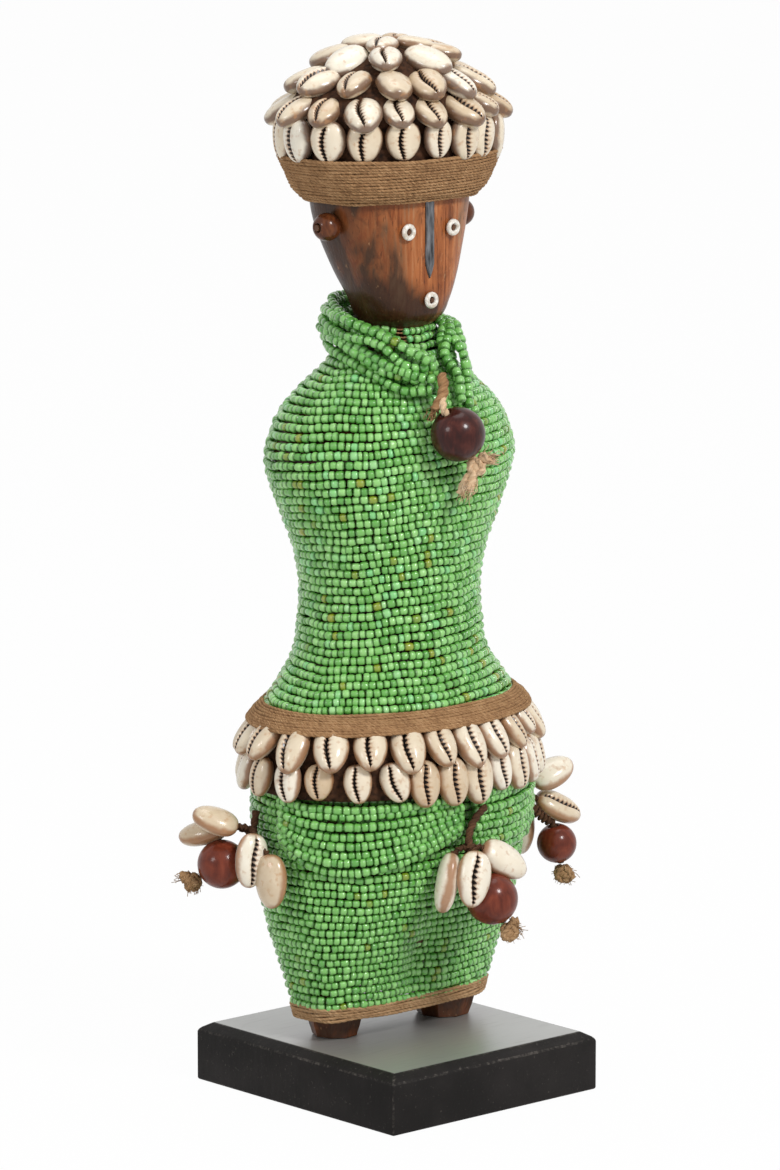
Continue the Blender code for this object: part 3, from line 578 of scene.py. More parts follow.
def copies(shape, spots, axes, tones, carried, darkening=None):
    """Copies of a shape as one piece: axes holds, for each copy, the three vectors its own axes become."""
    points, corners, starts = shape
    placed = np.einsum("vk,nkj->nvj", points, axes) + spots[:, None, :]
    count = len(spots)
    copy = np.arange(count)[:, None]
    many_corners = (corners[None, :] + copy * len(points)).reshape(-1)
    many_starts = (starts[None, :] + copy * len(corners)).reshape(-1)
    values = {"tone": np.repeat(tones, len(points))}
    for name, value in carried.items():
        values[name] = np.tile(value, count)
    # The darkening value deepens a cowrie's stain: grime, and painted shade where shells crowd.
    if darkening is not None:
        values["darkening"] = np.full(count * len(points), darkening)
    return mesh_piece(placed.reshape(-1, 3), many_corners, many_starts, values)


# Glass beads
BEAD_RADIUS = 0.00142
BEAD_LENGTH = 0.00240
BEAD_SIDES = 10
BEAD_RIM = 0.24
BEAD_NUDGE = 0.00009
BEAD_SKEW = 0.000015
HALF_CHORD = 1e-4
ROW_PITCH = 0.00295
TILT_ACROSS = np.array((0.745, -0.667))
EDGE_FAR = 0.49


def model_bead():
    """One glass bead, one unit long along X and one in radius, with its rims rounded."""
    deselect()
    bpy.ops.mesh.primitive_cylinder_add(vertices=BEAD_SIDES, radius=1, depth=1, rotation=(0, math.pi / 2, 0))
    bead = bpy.context.object
    bpy.ops.object.transform_apply(location=False, rotation=True, scale=False)
    corners = bead.data.vertices
    pick(bead, "EDGE", lambda edge: abs(sum(corners[v].co.x for v in edge.vertices) / 2) > EDGE_FAR)
    bpy.ops.mesh.bevel(offset=BEAD_RIM, segments=1, affect="EDGES")
    bpy.ops.object.mode_set(mode="OBJECT")
    return take_shape(bead)


class Strands:
    """Beads threaded on lines, gathered into one piece."""

    def __init__(self, seed):
        self.chance = np.random.default_rng(seed)
        self.spots = []
        self.ahead = []
        self.lengths = []
        self.radii = []

    def thread(self, line, size=1.0, spare=0.03, missing=0.0):
        """Fills a line with beads from end to end, with a little spare thread and some beads missing."""
        gone = travel(line)
        count = max(1, round(gone[-1] / (BEAD_LENGTH * size * (1 + spare))))
        lengths = np.clip(self.chance.normal(1.0, 0.15, count), 0.66, 1.45)
        taken = lengths * (1 + spare * 2 * self.chance.random(count))
        fit = gone[-1] / taken.sum()
        middles = (np.cumsum(taken) - taken / 2) * fit
        for middle, length in zip(middles, lengths * fit):
            if self.chance.random() < missing:
                continue
            start, end = points_at((middle - HALF_CHORD, middle + HALF_CHORD), gone, line)
            self.spots.append((start + end) / 2 + self.chance.normal(0, BEAD_NUDGE, 3))
            self.ahead.append(unit(end - start + self.chance.normal(0, BEAD_SKEW, 3)))
            self.lengths.append(length)
            self.radii.append(BEAD_RADIUS * size * float(np.clip(self.chance.normal(1.0, 0.055), 0.84, 1.14)))

    def piece(self, palest=1.0, deepest=0.0):
        """The beads as one piece, with tones between the deepest and the palest green."""
        ahead = np.array(self.ahead)
        count = len(ahead)
        radii = np.array(self.radii)[:, None]
        across = unit(np.cross(ahead, self.chance.normal(size=(count, 3))))
        up = np.cross(ahead, across)
        axes = np.stack([ahead * np.array(self.lengths)[:, None], across * radii, up * radii], 1)
        # The end value, 0 in a bead's middle and 1 at its ends, carries the painted shade between beads.
        ends = {"end": (2 * np.abs(GLASS_BEAD[0][:, 0])) ** 4}
        tones = deepest + (palest - deepest) * self.chance.random(count)
        return copies(GLASS_BEAD, np.array(self.spots), axes, tones, ends)


GLASS_BEAD = model_bead()


def row_heights(bottom, top):
    """Heights of rows that lie a pitch apart on the dress."""
    heights = np.linspace(bottom, top, 400)
    widths = along(DRESS, heights)[:2].mean(axis=0)
    gone = travel(np.stack([heights, widths], axis=1))
    return np.interp(np.linspace(0, gone[-1], round(gone[-1] / ROW_PITCH) + 1), gone, heights)


def waver(angles, height):
    """The slow unevenness of hand-wound rows."""
    slow = 0.00045 * np.sin(2 * angles + 31 * height) + 0.00030 * np.sin(5 * angles - 47 * height)
    return slow + 0.00016 * np.sin(11 * angles + 90 * height)


def around_dress(height, depth, angles, tilt=0.0):
    """Points round the dress at a height, moved in by a depth. A tilt raises the row towards the left arm."""
    across = round_points(angles, *along(DRESS, height)) @ TILT_ACROSS
    return laid(DRESS, height + waver(angles, height) + tilt * across, angles, depth)


# Hanging cords: the routes from the hang point to the end knot, each bead's middle and radius, the cowries
# on the cord as sewn end, tip and facing, and how far the knot's tails reach
CORD_RADIUS = 0.0014
CORD_STEP = 0.0010
CORD_LAY = 0.0058
SHELL_WIDTH = 0.0122
SHELL_THICKNESS = 0.0076
SHELL_GROWTH = 1.08
# How much the loose cowries' stain darkens: grime, and painted shade, less than on the crowded cap.
SHELL_DARKENING = 0.4
HANGINGS = {
    "pendant": {
        "route": ((-0.0075, -0.0342, 0.2196), (-0.0110, -0.0382, 0.2195), (-0.0005, -0.0440, 0.1957)),
        "bead": (-0.0080, -0.0425, 0.2075),
        "radius": 0.0090,
        "shells": (),
        "tails": ((0.0045, -0.0041, 0.0030), (-0.0034, 0.0020, -0.0094)),
    },
    "right_tassel": {
        "route": ((-0.0529, 0.0072, 0.0800), (-0.0542, 0.0074, 0.0730), (-0.0555, 0.0079, 0.0690),
                  (-0.0660, 0.0233, 0.0556)),
        "bead": (-0.0610, 0.0153, 0.0617),
        "radius": 0.0082,
        "shells": (
            ((-0.0580, 0.0105, 0.0745), (-0.0690, 0.0190, 0.0793), (0.3, 0.2, -1)),
            ((-0.0568, 0.0038, 0.0735), (-0.0605, 0.0026, 0.0570), (-0.1, -1, 0)),
            ((-0.0558, -0.0030, 0.0674), (-0.0570, -0.0054, 0.0508), (1, 0.2, 0)),
            ((-0.0570, 0.0170, 0.0735), (-0.0665, 0.0290, 0.0695), (0.5, -0.3, -1)),
        ),
        "tails": ((-0.0022, 0.0022, 0.0012), (-0.0010, -0.0014, -0.0018)),
    },
    "front_tassel": {
        "route": ((0.0083, -0.0382, 0.0797), (0.0030, -0.0400, 0.0775), (-0.0010, -0.0410, 0.0733),
                  (-0.0022, -0.0420, 0.0684), (-0.0013, -0.0432, 0.0633), (0.0080, -0.0490, 0.0410)),
        "bead": (0.0040, -0.0465, 0.0506),
        "radius": 0.0087,
        "shells": (
            ((-0.0030, -0.0466, 0.0680), (-0.0080, -0.0492, 0.0512), (-0.35, -0.95, 0)),
            ((-0.0075, -0.0393, 0.0668), (-0.0135, -0.0412, 0.0490), (0.9, -0.6, 0)),
            ((0.0025, -0.0437, 0.0678), (0.0160, -0.0482, 0.0584), (-0.2, 1, -0.3)),
        ),
        "tails": ((0.0022, -0.0020, 0.0010),),
    },
    "left_tassel": {
        "route": ((0.0530, -0.0074, 0.0800), (0.0543, -0.0083, 0.0740), (0.0560, -0.0105, 0.0680),
                  (0.0600, -0.0130, 0.0638), (0.0660, -0.0145, 0.0460)),
        "bead": (0.0640, -0.0140, 0.0550),
        "radius": 0.0068,
        "shells": (
            ((0.0570, -0.0092, 0.0760), (0.0702, -0.0132, 0.0820), (0, 0.5, -1)),
            ((0.0588, -0.0094, 0.0708), (0.0724, -0.0147, 0.0635), (0.3, -0.6, 0.6)),
            ((0.0569, -0.0029, 0.0685), (0.0587, -0.0012, 0.0512), (-1, -0.2, 0)),
        ),
        "tails": ((0.0014, -0.0013, -0.0012),),
    },
}

# Cowrie: shares of the half width at which the rows of points lie, from the rim in to the slit. The notches
# between the teeth fade as they run out from the slit.
SHELL_RINGS = 26
LEFT_LIP = np.array((0.0, 0.05, 0.20, 0.42, 0.66, 0.84, 0.95, 1.0))
RIGHT_LIP = 1 - LEFT_LIP[::-1]
SHELL_BACK = np.array((0.80, 0.42, 0.0, -0.42, -0.80))
LEFT_TOOTH = 0.62
RIGHT_TOOTH = 0.30
SLIT_DEPTH = 0.26
NOTCH_FADE = np.array((0.42, 0.20, 0.05))

# How much the cowries of a row differ: their spacing, their slant sideways and up, and their size
ROW_SPACING = 0.25
ROW_SLANT = 0.010
ROW_LIFT = 0.006
ROW_SIZE = 0.075
ROW_SMALLEST = 0.85
ROW_LARGEST = 1.15
ROW_PLUMP = 1.25


def model_cowrie():
    """One cowrie, one unit long along Z from its sewn end, one in half width along X and one thick along Y.

    The toothed slit is on the +Y side. It returns the shape, and how near each point is to rim and slit.
    """
    rings = []
    rim = []
    slit = []
    floor = len(LEFT_LIP)
    even_steps = np.linspace(0.01, 0.99, SHELL_RINGS)
    crowded = (1 - np.cos(math.pi * even_steps)) / 2
    for i, t in enumerate(0.55 * even_steps + 0.45 * crowded):
        egg = (1 - abs(1 - 2 * t**0.90) ** 2.3) ** 0.48
        egg *= 1 - 0.16 * max(0.0, (t - 0.4) / 0.6) ** 1.5
        thick = (1 - abs(1 - 2 * t**0.94) ** 2.5) ** 0.44
        middle = -0.06 + 0.27 * math.sin(math.pi * t) + 0.22 * max(0.0, 0.16 - t) / 0.16
        reach = min(1.0, 9 * t, 12 * (1 - t))
        half = (0.120 + 0.055 * t**2) * reach
        tooth = i % 2 == 1 and 2 < i < SHELL_RINGS - 2
        left = -1 + (middle - half + 1) * LEFT_LIP
        right = middle + half + (1 - middle - half) * RIGHT_LIP
        left[-1] = middle - half * (1 - LEFT_TOOTH * tooth)
        right[0] = middle + half * (1 - RIGHT_TOOTH * tooth)
        front = np.concatenate([left, (middle - 0.3 * half, middle + 0.3 * half), right])
        bulge = 0.52 * np.maximum(1 - np.abs(front) ** 2.5, 0) ** 0.55
        bulge -= 0.13 * np.exp(-(((front - middle) / 0.17) ** 2)) * reach
        bulge[floor:floor + 2] -= SLIT_DEPTH * reach
        back = -0.48 * np.sqrt(1 - SHELL_BACK**2)
        x = np.concatenate([front, SHELL_BACK]) * egg
        y = np.concatenate([bulge, back]) * thick
        rings.append(np.column_stack([x, y, np.full(len(x), t)])[::-1])
        sides = np.concatenate([np.abs(front) ** 4.2, 0.12 + 0.5 * SHELL_BACK**4])
        rim.append(np.maximum(sides, abs(2 * t - 1) ** 5)[::-1])
        dark = np.zeros(len(x))
        dark[floor:floor + 2] = reach
        dark[[floor - 1, floor + 2]] = 0.34 if tooth else 0.86 * reach
        if not tooth:
            dark[floor - 4:floor - 1] = NOTCH_FADE[::-1] * reach
            dark[floor + 3:floor + 6] = NOTCH_FADE * reach
        slit.append(dark[::-1])
    rings = np.array(rings)
    corners, starts = skin_faces(len(rings), rings.shape[1], False)
    marks = {"rim": np.concatenate(rim), "slit": np.concatenate(slit)}
    return (rings.reshape(-1, 3), corners, starts), marks


COWRIE_SHAPE, COWRIE_MARKS = model_cowrie()


def shell_axes(sewn, tip, facing, width, thickness):
    """The vectors that a cowrie's own axes become between its sewn end and its tip."""
    down = np.subtract(tip, sewn)
    side = unit(np.cross(down, facing))
    out = unit(np.cross(side, down))
    return np.array([side * width / 2, out * thickness, down])


def loose_cowrie(sewn, tip, facing, tone):
    grown = np.add(sewn, np.subtract(tip, sewn) * SHELL_GROWTH)
    axes = shell_axes(sewn, grown, facing, SHELL_WIDTH, SHELL_THICKNESS)
    return copies(COWRIE_SHAPE, np.array([sewn]), axes[None], np.array([tone]), COWRIE_MARKS, SHELL_DARKENING)


def even_angles(half_width, half_depth, count):
    """Angles that divide an ellipse into equal lengths."""
    fine = np.linspace(0, math.tau, 721)
    gone = travel(round_points(fine, half_width, half_depth))
    return np.interp(np.linspace(0, gone[-1], count, endpoint=False), gone, fine)


def cowrie_row(count, half_width, half_depth, sewn, tip, thickness, width, loose, darkening, backs, seed):
    """A row of cowries sewn on at their upper ends, each a little its own size and slant, some back up."""
    chance = np.random.default_rng(seed)
    angles = even_angles(half_width, half_depth, count) + chance.random() * math.tau / count
    lean = np.subtract(tip, sewn)
    facing = np.array((-lean[1], lean[0])) / np.hypot(*lean)
    spots = []
    axes = []
    for angle in angles + chance.normal(0, ROW_SPACING / count, count):
        base = round_points(angle, half_width, half_depth)
        outward = unit(np.array((base[0] / half_width**2, base[1] / half_depth**2)))
        slant = np.array((-outward[1], outward[0], 0)) * chance.normal(0, ROW_SLANT * loose)
        slant[2] = chance.normal(0, ROW_LIFT * loose)
        size = float(np.clip(chance.normal(1.0, ROW_SIZE), ROW_SMALLEST, ROW_LARGEST))
        start = np.array((*(base + outward * sewn[0]), sewn[1]))
        drop = np.array((*(outward * lean[0]), lean[1])) * size + slant
        face = np.array((*(outward * facing[0]), facing[1])) + chance.normal(0, loose, 3)
        if chance.random() < backs:
            face = -face
        spots.append(start)
        axes.append(shell_axes(start, start + drop, face, width * size, thickness * ROW_PLUMP * size))
    return copies(COWRIE_SHAPE, np.array(spots), np.array(axes), chance.random(count), COWRIE_MARKS, darkening)


def turned(profile, middle, axis, sides):
    """A turned solid: radius and place along its axis, from the near end round to the near end again."""
    axis = unit(axis)
    across = unit(np.cross(axis, np.eye(3)[np.argmin(np.abs(axis))]))
    up = np.cross(axis, across)
    angles = around(sides)[:, None]
    outward = across[None] * np.cos(angles) + up[None] * np.sin(angles)
    rings = [np.asarray(middle) + axis * place + outward * radius for radius, place in profile]
    return skin(rings, closed=True)


def ball_profile(radius, bore, ease=0.0005, rings=22):
    """A ball with a hole through it and softened rims at the hole."""
    start = math.asin((bore + ease) / radius)
    ball = [(radius * math.sin(a), -radius * math.cos(a)) for a in np.linspace(start, math.pi - start, rings)]
    reach = radius * math.cos(start) - ease
    return ball + [(bore, reach), (bore, 0.0), (bore, -reach)]


# Knots, their tails and their loose fibres
FINE_STEP = 0.0005
FINE_LAY = 0.003
TWINE_LAY = 0.0042
KNOT_LAY = 0.0036
KNOT_STEP = 0.00055
KNOT_RADIUS = 0.0036
KNOT_SEAT = 1.04
KNOT_TWINE = 0.00105
KNOT_TURNS = 2.35
KNOT_WAVES = 3.6
KNOT_SWING = 1.15
KNOT_CORE = 0.0024
CORE_SIDES = 14
CORE_RINGS = 8
KNOT_FUZZ = 24
FUZZ_RADIUS = 0.00008
FUZZ_REACH = 0.0004
TAIL_STRANDS = 5
TAIL_TWINE = 0.00147
TAIL_BOW = np.array((0, 0, 0.0010))
TAIL_BEND = 0.45
TAIL_SPLAY = 0.0012
HAIR_SPREAD = 0.0010
FRAYED_HAIRS = 50
HAIR_RADIUS = 0.00012
HAIR_DROOP = np.array((0, 0, -0.0002))


def hairs(spots, tips, radius, chance):
    """Loose fibres from each spot to near its tip, as one piece."""
    pieces = []
    for start, end in zip(spots, tips):
        length = np.linalg.norm(end - start)
        middle = (start + end) / 2 + chance.normal(0, 0.18, 3) * length
        line = smooth((start, middle, end + HAIR_DROOP), length / 5)
        pieces.append(rope(even(line, travel(line)[-1] / 5)[:6], radius, sides=4, depth=0.0))
    return join(pieces)


def frayed_knot(middle, tails, seed):
    """A knot: twine wound over itself into a small ball, with its ends hanging out of it and combed loose."""
    chance = np.random.default_rng(seed)
    share = np.linspace(0, 1, 150)
    turn = math.tau * KNOT_TURNS * share + chance.random() * math.tau
    rise = KNOT_SWING * np.sin(math.tau * KNOT_WAVES * share)
    ball = np.stack([np.cos(turn) * np.cos(rise), np.sin(turn) * np.cos(rise), np.sin(rise)], axis=1)
    wound = rope(even(middle + ball * (KNOT_RADIUS - KNOT_TWINE), KNOT_STEP), KNOT_TWINE, lay=KNOT_LAY)
    rings = []
    for latitude in np.linspace(-1.4, 1.4, CORE_RINGS):
        radius = KNOT_CORE * math.cos(latitude)
        rings.append(middle + ring_at(KNOT_CORE * math.sin(latitude), around(CORE_SIDES), radius, radius))
    core = skin(rings, carried={"fibre": np.zeros((CORE_SIDES * CORE_RINGS, 3))})
    ways = unit(chance.normal(size=(KNOT_FUZZ, 3)))
    roots = middle + ways * KNOT_RADIUS * 0.7
    parts = [wound, core, hairs(roots, middle + ways * (KNOT_RADIUS + FUZZ_REACH), FUZZ_RADIUS, chance)]
    for tail in tails:
        reach = np.asarray(tail)
        for splay in chance.normal(0, TAIL_SPLAY, (TAIL_STRANDS, 3)):
            bend = middle + reach * TAIL_BEND + TAIL_BOW + splay * 0.6
            strand = smooth((middle, bend, middle + reach * 0.88 + splay), FINE_STEP)
            parts.append(rope(strand, TAIL_TWINE, lay=TWINE_LAY))
        spread = chance.normal(0, HAIR_SPREAD, (FRAYED_HAIRS, 3))
        roots = middle + reach * TAIL_BEND + TAIL_BOW * 0.7 + spread * 0.7
        tips = middle + reach * (0.85 + 0.28 * chance.random((FRAYED_HAIRS, 1))) + spread * 1.3
        parts.append(hairs(roots, tips, HAIR_RADIUS, chance))
    return join(parts)


# Lashings
WHIP_TWINE = 0.00060
WHIP_SPAN = (0.36, 0.56)
WHIP_RADIUS = CORD_RADIUS + 0.0001
TIE_TWINE = 0.00085
TIE_WHIP = 0.0007
TIE_SPAN = (0.1, 0.9)
TIE_RISE = np.array((0, 0, 0.0008))
TIE_HOLD = 0.0012


def coil(line, radius, span, turns):
    """A thin twine whipped round a cord between two shares of its length."""
    gone = travel(line)
    places = np.linspace(*span, turns * 16) * gone[-1]
    middle, side, rise = (points_at(places, gone, field) for field in (line, *across_line(line)))
    angle = math.tau * turns * np.linspace(0, 1, len(places))[:, None]
    wound = middle + radius * (side * np.cos(angle) + rise * np.sin(angle))
    return rope(wound, WHIP_TWINE, lay=FINE_LAY, sides=6)


def make_lashing(name, line, shells):
    """The twine that is whipped round the cord and ties each cowrie to it."""
    parts = [coil(line, WHIP_RADIUS, WHIP_SPAN, 5)]
    for sewn, tip, _ in np.array(shells):
        nearest = line[np.argmin(np.linalg.norm(line - sewn, axis=1))]
        hold = sewn + unit(tip - sewn) * TIE_HOLD
        tie = smooth((nearest, (nearest + sewn) / 2 + TIE_RISE, hold), FINE_STEP)
        parts.append(rope(tie, TIE_TWINE, lay=FINE_LAY))
        parts.append(coil(tie, TIE_WHIP, TIE_SPAN, 3))
    return keep(f"{name}_lashing", join(parts), DARK_CORD, body=name)


def make_hanging(name, hung, cord_finish, bead_finish, knot_finish, seed):
    """A cord with its cowries, its wooden bead and its end knot."""
    centre = np.array(hung["bead"])
    through = unit(np.array(hung["route"][-1]) - centre)
    inside = centre - through * (hung["radius"] + CORD_RADIUS)
    outside = centre + through * (hung["radius"] + GAP)
    upper = smooth([*hung["route"][:-1], inside], CORD_STEP)
    line = even(np.vstack([upper, centre, outside]), CORD_STEP)
    twisted = rope(line, CORD_RADIUS, lay=CORD_LAY, sides=12)
    cord = keep(f"{name}_twisted_cord", twisted, cord_finish, [f"{name}_cord"], name)
    ball = turned(ball_profile(hung["radius"], CORD_RADIUS + GAP), centre, through, 48)
    bead = keep(f"{name}_turned_bead", ball, bead_finish, [f"{name}_bead"], f"{name}_bead")
    end = outside + through * (KNOT_RADIUS * KNOT_SEAT + GAP)
    tied = frayed_knot(end, hung["tails"], seed)
    knot = keep(f"{name}_end_knot", tied, knot_finish, [f"{name}_knot"], name)
    if hung["shells"]:
        make_lashing(name, line, hung["shells"])
    tones = np.random.default_rng(seed).random(len(hung["shells"]))
    for i, sewing in enumerate(hung["shells"]):
        node = f"{name}_shell_{i + 1}"
        keep(f"{name}_cowrie_{i + 1}", loose_cowrie(*sewing, tones[i]), COWRIE, [node], node)


for hanging_seed, (hanging, parts_of_it) in enumerate(HANGINGS.items(), 11):
    looks = (TAN_TWINE, MAROON_WOOD, TAN_TWINE) if hanging == "pendant" else (DARK_CORD, RED_WOOD, GREY_TWINE)
    make_hanging(hanging, parts_of_it, *looks, hanging_seed)

# Plinth
PLINTH_WIDTH = 0.092
PLINTH_DEPTH = 0.100
PLINTH_HEIGHT = 0.020
CHAMFER_ACROSS = 0.004
CHAMFER_DOWN = 0.0024
EDGE_ROUND = 0.0009
SMALL_FACE = 1e-4


def make_plinth():
    """A painted block with a chamfered top, its edges rubbed round."""
    deselect()
    bpy.ops.mesh.primitive_cube_add(size=1, location=(0, 0, PLINTH_HEIGHT / 2))
    block = bpy.context.object
    block.scale = (PLINTH_WIDTH, PLINTH_DEPTH, PLINTH_HEIGHT)
    bpy.ops.object.transform_apply(location=True, rotation=True, scale=True)
    bpy.ops.object.mode_set(mode="EDIT")
    bpy.ops.mesh.select_all(action="SELECT")
    bpy.ops.mesh.bisect(plane_co=(0, 0, PLINTH_HEIGHT - CHAMFER_DOWN), plane_no=(0, 0, 1))
    pick(block, "VERT", lambda corner: corner.co.z > PLINTH_HEIGHT - CHAMFER_DOWN / 2)
    narrow = (1 - 2 * CHAMFER_ACROSS / PLINTH_WIDTH, 1 - 2 * CHAMFER_ACROSS / PLINTH_DEPTH, 1)
    bpy.ops.transform.resize(value=narrow, center_override=(0, 0, 0))
    bpy.ops.mesh.select_mode(type="EDGE")
    bpy.ops.mesh.select_all(action="SELECT")
    bpy.ops.mesh.bevel(offset=EDGE_ROUND, segments=4, affect="EDGES")
    bpy.ops.object.mode_set(mode="OBJECT")
    bpy.ops.object.shade_smooth_by_angle(angle=math.radians(35))
    flat = np.zeros(len(block.data.vertices))
    sizes = np.zeros(len(flat))
    for face in block.data.polygons:
        for corner in face.vertices:
            sizes[corner] = max(sizes[corner], face.area)
            if face.normal.z > 0.99:
                flat[corner] = 1.0
    carry(block.data, {"top": flat, "rub": (sizes < SMALL_FACE).astype(float)})
    return block


keep("painted_plinth", make_plinth(), PLINTH_PAINT, ["plinth"])

# Figure under the beads, and the feet. A leg is given as heights and radii.
BEAD_LAYER = 0.0036
TRUNK_BOTTOM = 0.0300
TRUNK_TOP = 0.2240
TRUNK_RINGS = 60
NECK_RADIUS = 0.0118
NECK_HEIGHTS = (0.2285, 0.2320, 0.2360)
HEAD_RINGS = 56
CHIN_HEIGHT = 0.2575
FIGURE_SIDES = 96
# The trunk under the beads is near black: partly stain, partly painted shade in the gaps between the beads.
UNDER_STAIN_AND_SHADE = 0.9
FOOT_SMOKE = 0.72
LEG = ((0.0003, 0.00725), (0.004, 0.0084), (0.010, 0.0097), (0.013, 0.0083), (0.024, 0.0083), (0.045, 0.0095))
LEG_SPREAD = 0.0237
LEG_STAGGER = 0.0009
LEG_GIRTHS = ((-1, 1.06), (1, 1.24))
LEG_FACETS = 9
FACET_START = 0.3
FACET_ANGLE = 20


def make_figure():
    """The carved trunk, neck and head in one, darker at the sides, the back and the chin: the wood's own
    stain, and painted shade, most on the left side and under the chin.
    """
    angles = around(FIGURE_SIDES)
    heights = np.linspace(TRUNK_BOTTOM, TRUNK_TOP, TRUNK_RINGS)
    rings = [laid(DRESS, height, angles, BEAD_LAYER) for height in heights]
    rings += [ring_at(height, angles, NECK_RADIUS, NECK_RADIUS) for height in NECK_HEIGHTS]
    stain_and_shade = [np.full(FIGURE_SIDES * len(rings), UNDER_STAIN_AND_SHADE)]
    for height in np.linspace(HEAD[0][0], HEAD[-1][0], HEAD_RINGS):
        half_width, front, back, squareness = along(HEAD, height)
        ring = ring_at(height, angles, half_width, (back - front) / 2, squareness)
        ring[:, 1] += (front + back) / 2
        rings.append(ring)
        # Painted shade with the wood's own stain: darker towards the left side, at the back and under the chin.
        share = ring[:, 0] / half_width
        side = np.where(share < 0, np.abs(share) ** 1.3, 0.6 * np.abs(share) ** 4)
        rear = np.clip((ring[:, 1] + 0.004) / 0.010, 0, 1)
        chin = np.clip((CHIN_HEIGHT - height) / 0.013, 0, 1) * np.where(share < 0.3, 1.0, 0.6)
        stain_and_shade.append(np.clip(0.66 * side + 0.85 * chin + 0.7 * rear, 0, 1.3))
    return skin(rings, carried={"stain_and_shade": np.concatenate(stain_and_shade)})


def make_feet():
    """Two carved feet, whittled in flat facets and narrowing to the sole."""
    feet = []
    angles = around(LEG_FACETS) + FACET_START
    stain_and_shade = np.full(LEG_FACETS * len(LEG), FOOT_SMOKE)
    for side, girth in LEG_GIRTHS:
        place = (side * LEG_SPREAD, -side * LEG_STAGGER, 0)
        rings = [ring_at(height, angles, radius * girth, radius * girth) + place for height, radius in LEG]
        feet.append(skin(rings, carried={"stain_and_shade": stain_and_shade}, sharp=FACET_ANGLE))
    return join(feet)


keep("carved_trunk_and_head", make_figure(), HEAD_WOOD, ["carved_figure"])
keep("whittled_feet", make_feet(), HEAD_WOOD)

# Face
EYE_SPREAD = 0.0098
EYE_HEIGHT = 0.272
MOUTH_HEIGHT = 0.2487
RING_RADIUS = 0.0028
RING_HOLE = 0.0011
RING_THICKNESS = 0.0016
EAR_BEAD_RADIUS = 0.0047
EAR_BEAD_BORE = 0.0014
EAR_BEAD_PLACE = (0.0296, -0.0023, 0.2737)
NOSE_HALF_WIDTH = 0.00188
NOSE_TOP = 0.2832
NOSE_SHOULDER = 0.2608
NOSE_TIP = 0.2560
NOSE_PROUD = 0.0013
NOSE_SUNK = 0.0010
NOSE_SQUARENESS = 3.2


def face_front(x, height):
    """How far forward the face reaches at x."""
    half_width, front, back, squareness = along(HEAD, height)
    half_depth = (back - front) / 2
    return (front + back) / 2 - half_depth * (1 - (abs(x) / half_width) ** squareness) ** (1 / squareness)


def ring_seat(x, height):
    """The back of a face ring: just in front of the face under the ring's inner edge."""
    inner = max(abs(x) - RING_RADIUS, 0.0)
    spots = [face_front(inner, height + lift) for lift in (-RING_RADIUS, 0.0, RING_RADIUS)]
    return min(spots) - GAP


def make_face_ring(x, height):
    """A white ring bead, pegged flat on the face."""
    deselect()
    tube = (RING_RADIUS - RING_HOLE) / 2
    middle = FIGURE + (x, ring_seat(x, height) - RING_THICKNESS / 2, height)
    bpy.ops.mesh.primitive_torus_add(major_radius=RING_HOLE + tube, minor_radius=tube, major_segments=40,
                                     minor_segments=16, location=tuple(middle), rotation=(math.pi / 2, 0, 0))
    bpy.ops.object.transform_apply(location=True, rotation=True, scale=True)
    bpy.ops.object.shade_smooth()
    return bpy.context.object


def make_nose():
    """A rounded metal strip let into the face, narrowing to a point above the mouth."""
    rings = []
    angles = around(20)
    for height in np.linspace(NOSE_TIP, NOSE_TOP, 40):
        narrow = float(np.clip((height - NOSE_TIP) / (NOSE_SHOULDER - NOSE_TIP), 0.06, 1.0)) ** 0.7
        round_top = float(np.clip((NOSE_TOP + 0.0004 - height) / 0.0016, 0.15, 1.0)) ** 0.5
        depth = (NOSE_SUNK + NOSE_PROUD * narrow**0.5) * round_top
        ring = ring_at(height, angles, NOSE_HALF_WIDTH * narrow * round_top, depth, NOSE_SQUARENESS)
        ring[:, 1] += face_front(0, height) + NOSE_SUNK
        rings.append(ring)
    return skin(rings)


def coat(node, material):
    """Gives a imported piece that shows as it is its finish."""
    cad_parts[node].material_slots[0].material = material


for ring_name, ring_x, ring_height in (
    ("eye_right", -EYE_SPREAD, EYE_HEIGHT),
    ("eye_left", EYE_SPREAD, EYE_HEIGHT),
    ("mouth", 0.0, MOUTH_HEIGHT),
):
    keep(f"{ring_name}_white_ring", make_face_ring(ring_x, ring_height), RING_WHITE, [f"{ring_name}_ring"])
    coat(f"{ring_name}_peg", PEG_WOOD)
keep("nose_bar", make_nose(), NOSE_METAL, ["nose_strip"])
for ear, sign in (("right", -1), ("left", 1)):
    ear_place = np.array(EAR_BEAD_PLACE) * (sign, 1, 1)
    ear_ball = turned(ball_profile(EAR_BEAD_RADIUS, EAR_BEAD_BORE), ear_place, (sign, 0, 0), 40)
    keep(f"ear_turned_bead_{ear}", ear_ball, EAR_WOOD, [f"ear_bead_{ear}"])
    coat(f"ear_peg_{ear}", PEG_WOOD)
    coat(f"mounting_screw_{ear}", SCREW_STEEL)

# Cap: the twine band and the padded core by height, half width and half depth, the band also by squareness
CAP_BAND = (
    (0.2816, 0.0290, 0.0212, 2.8),
    (0.2846, 0.0322, 0.0240, 2.7),
    (0.2905, 0.0360, 0.0276, 2.4),
    (0.2968, 0.0391, 0.0305, 2.3),
)
BAND_STEP = 0.0008
BAND_GROOVE = 0.24
CAP_TWINE = 0.00070
CAP_TURNS = 15
CAP_SQUARENESS = 2.2
CAP_CORE = (
    (0.2890, 0.0340, 0.0260),
    (0.2970, 0.0358, 0.0280),
    (0.3055, 0.0350, 0.0272),
    (0.3146, 0.0352, 0.0272),
    (0.3187, 0.0290, 0.0231),
    (0.3230, 0.0232, 0.0184),
    (0.3266, 0.0174, 0.0146),
    (0.3296, 0.0108, 0.0095),
    (0.3315, 0.0035, 0.0035),
)
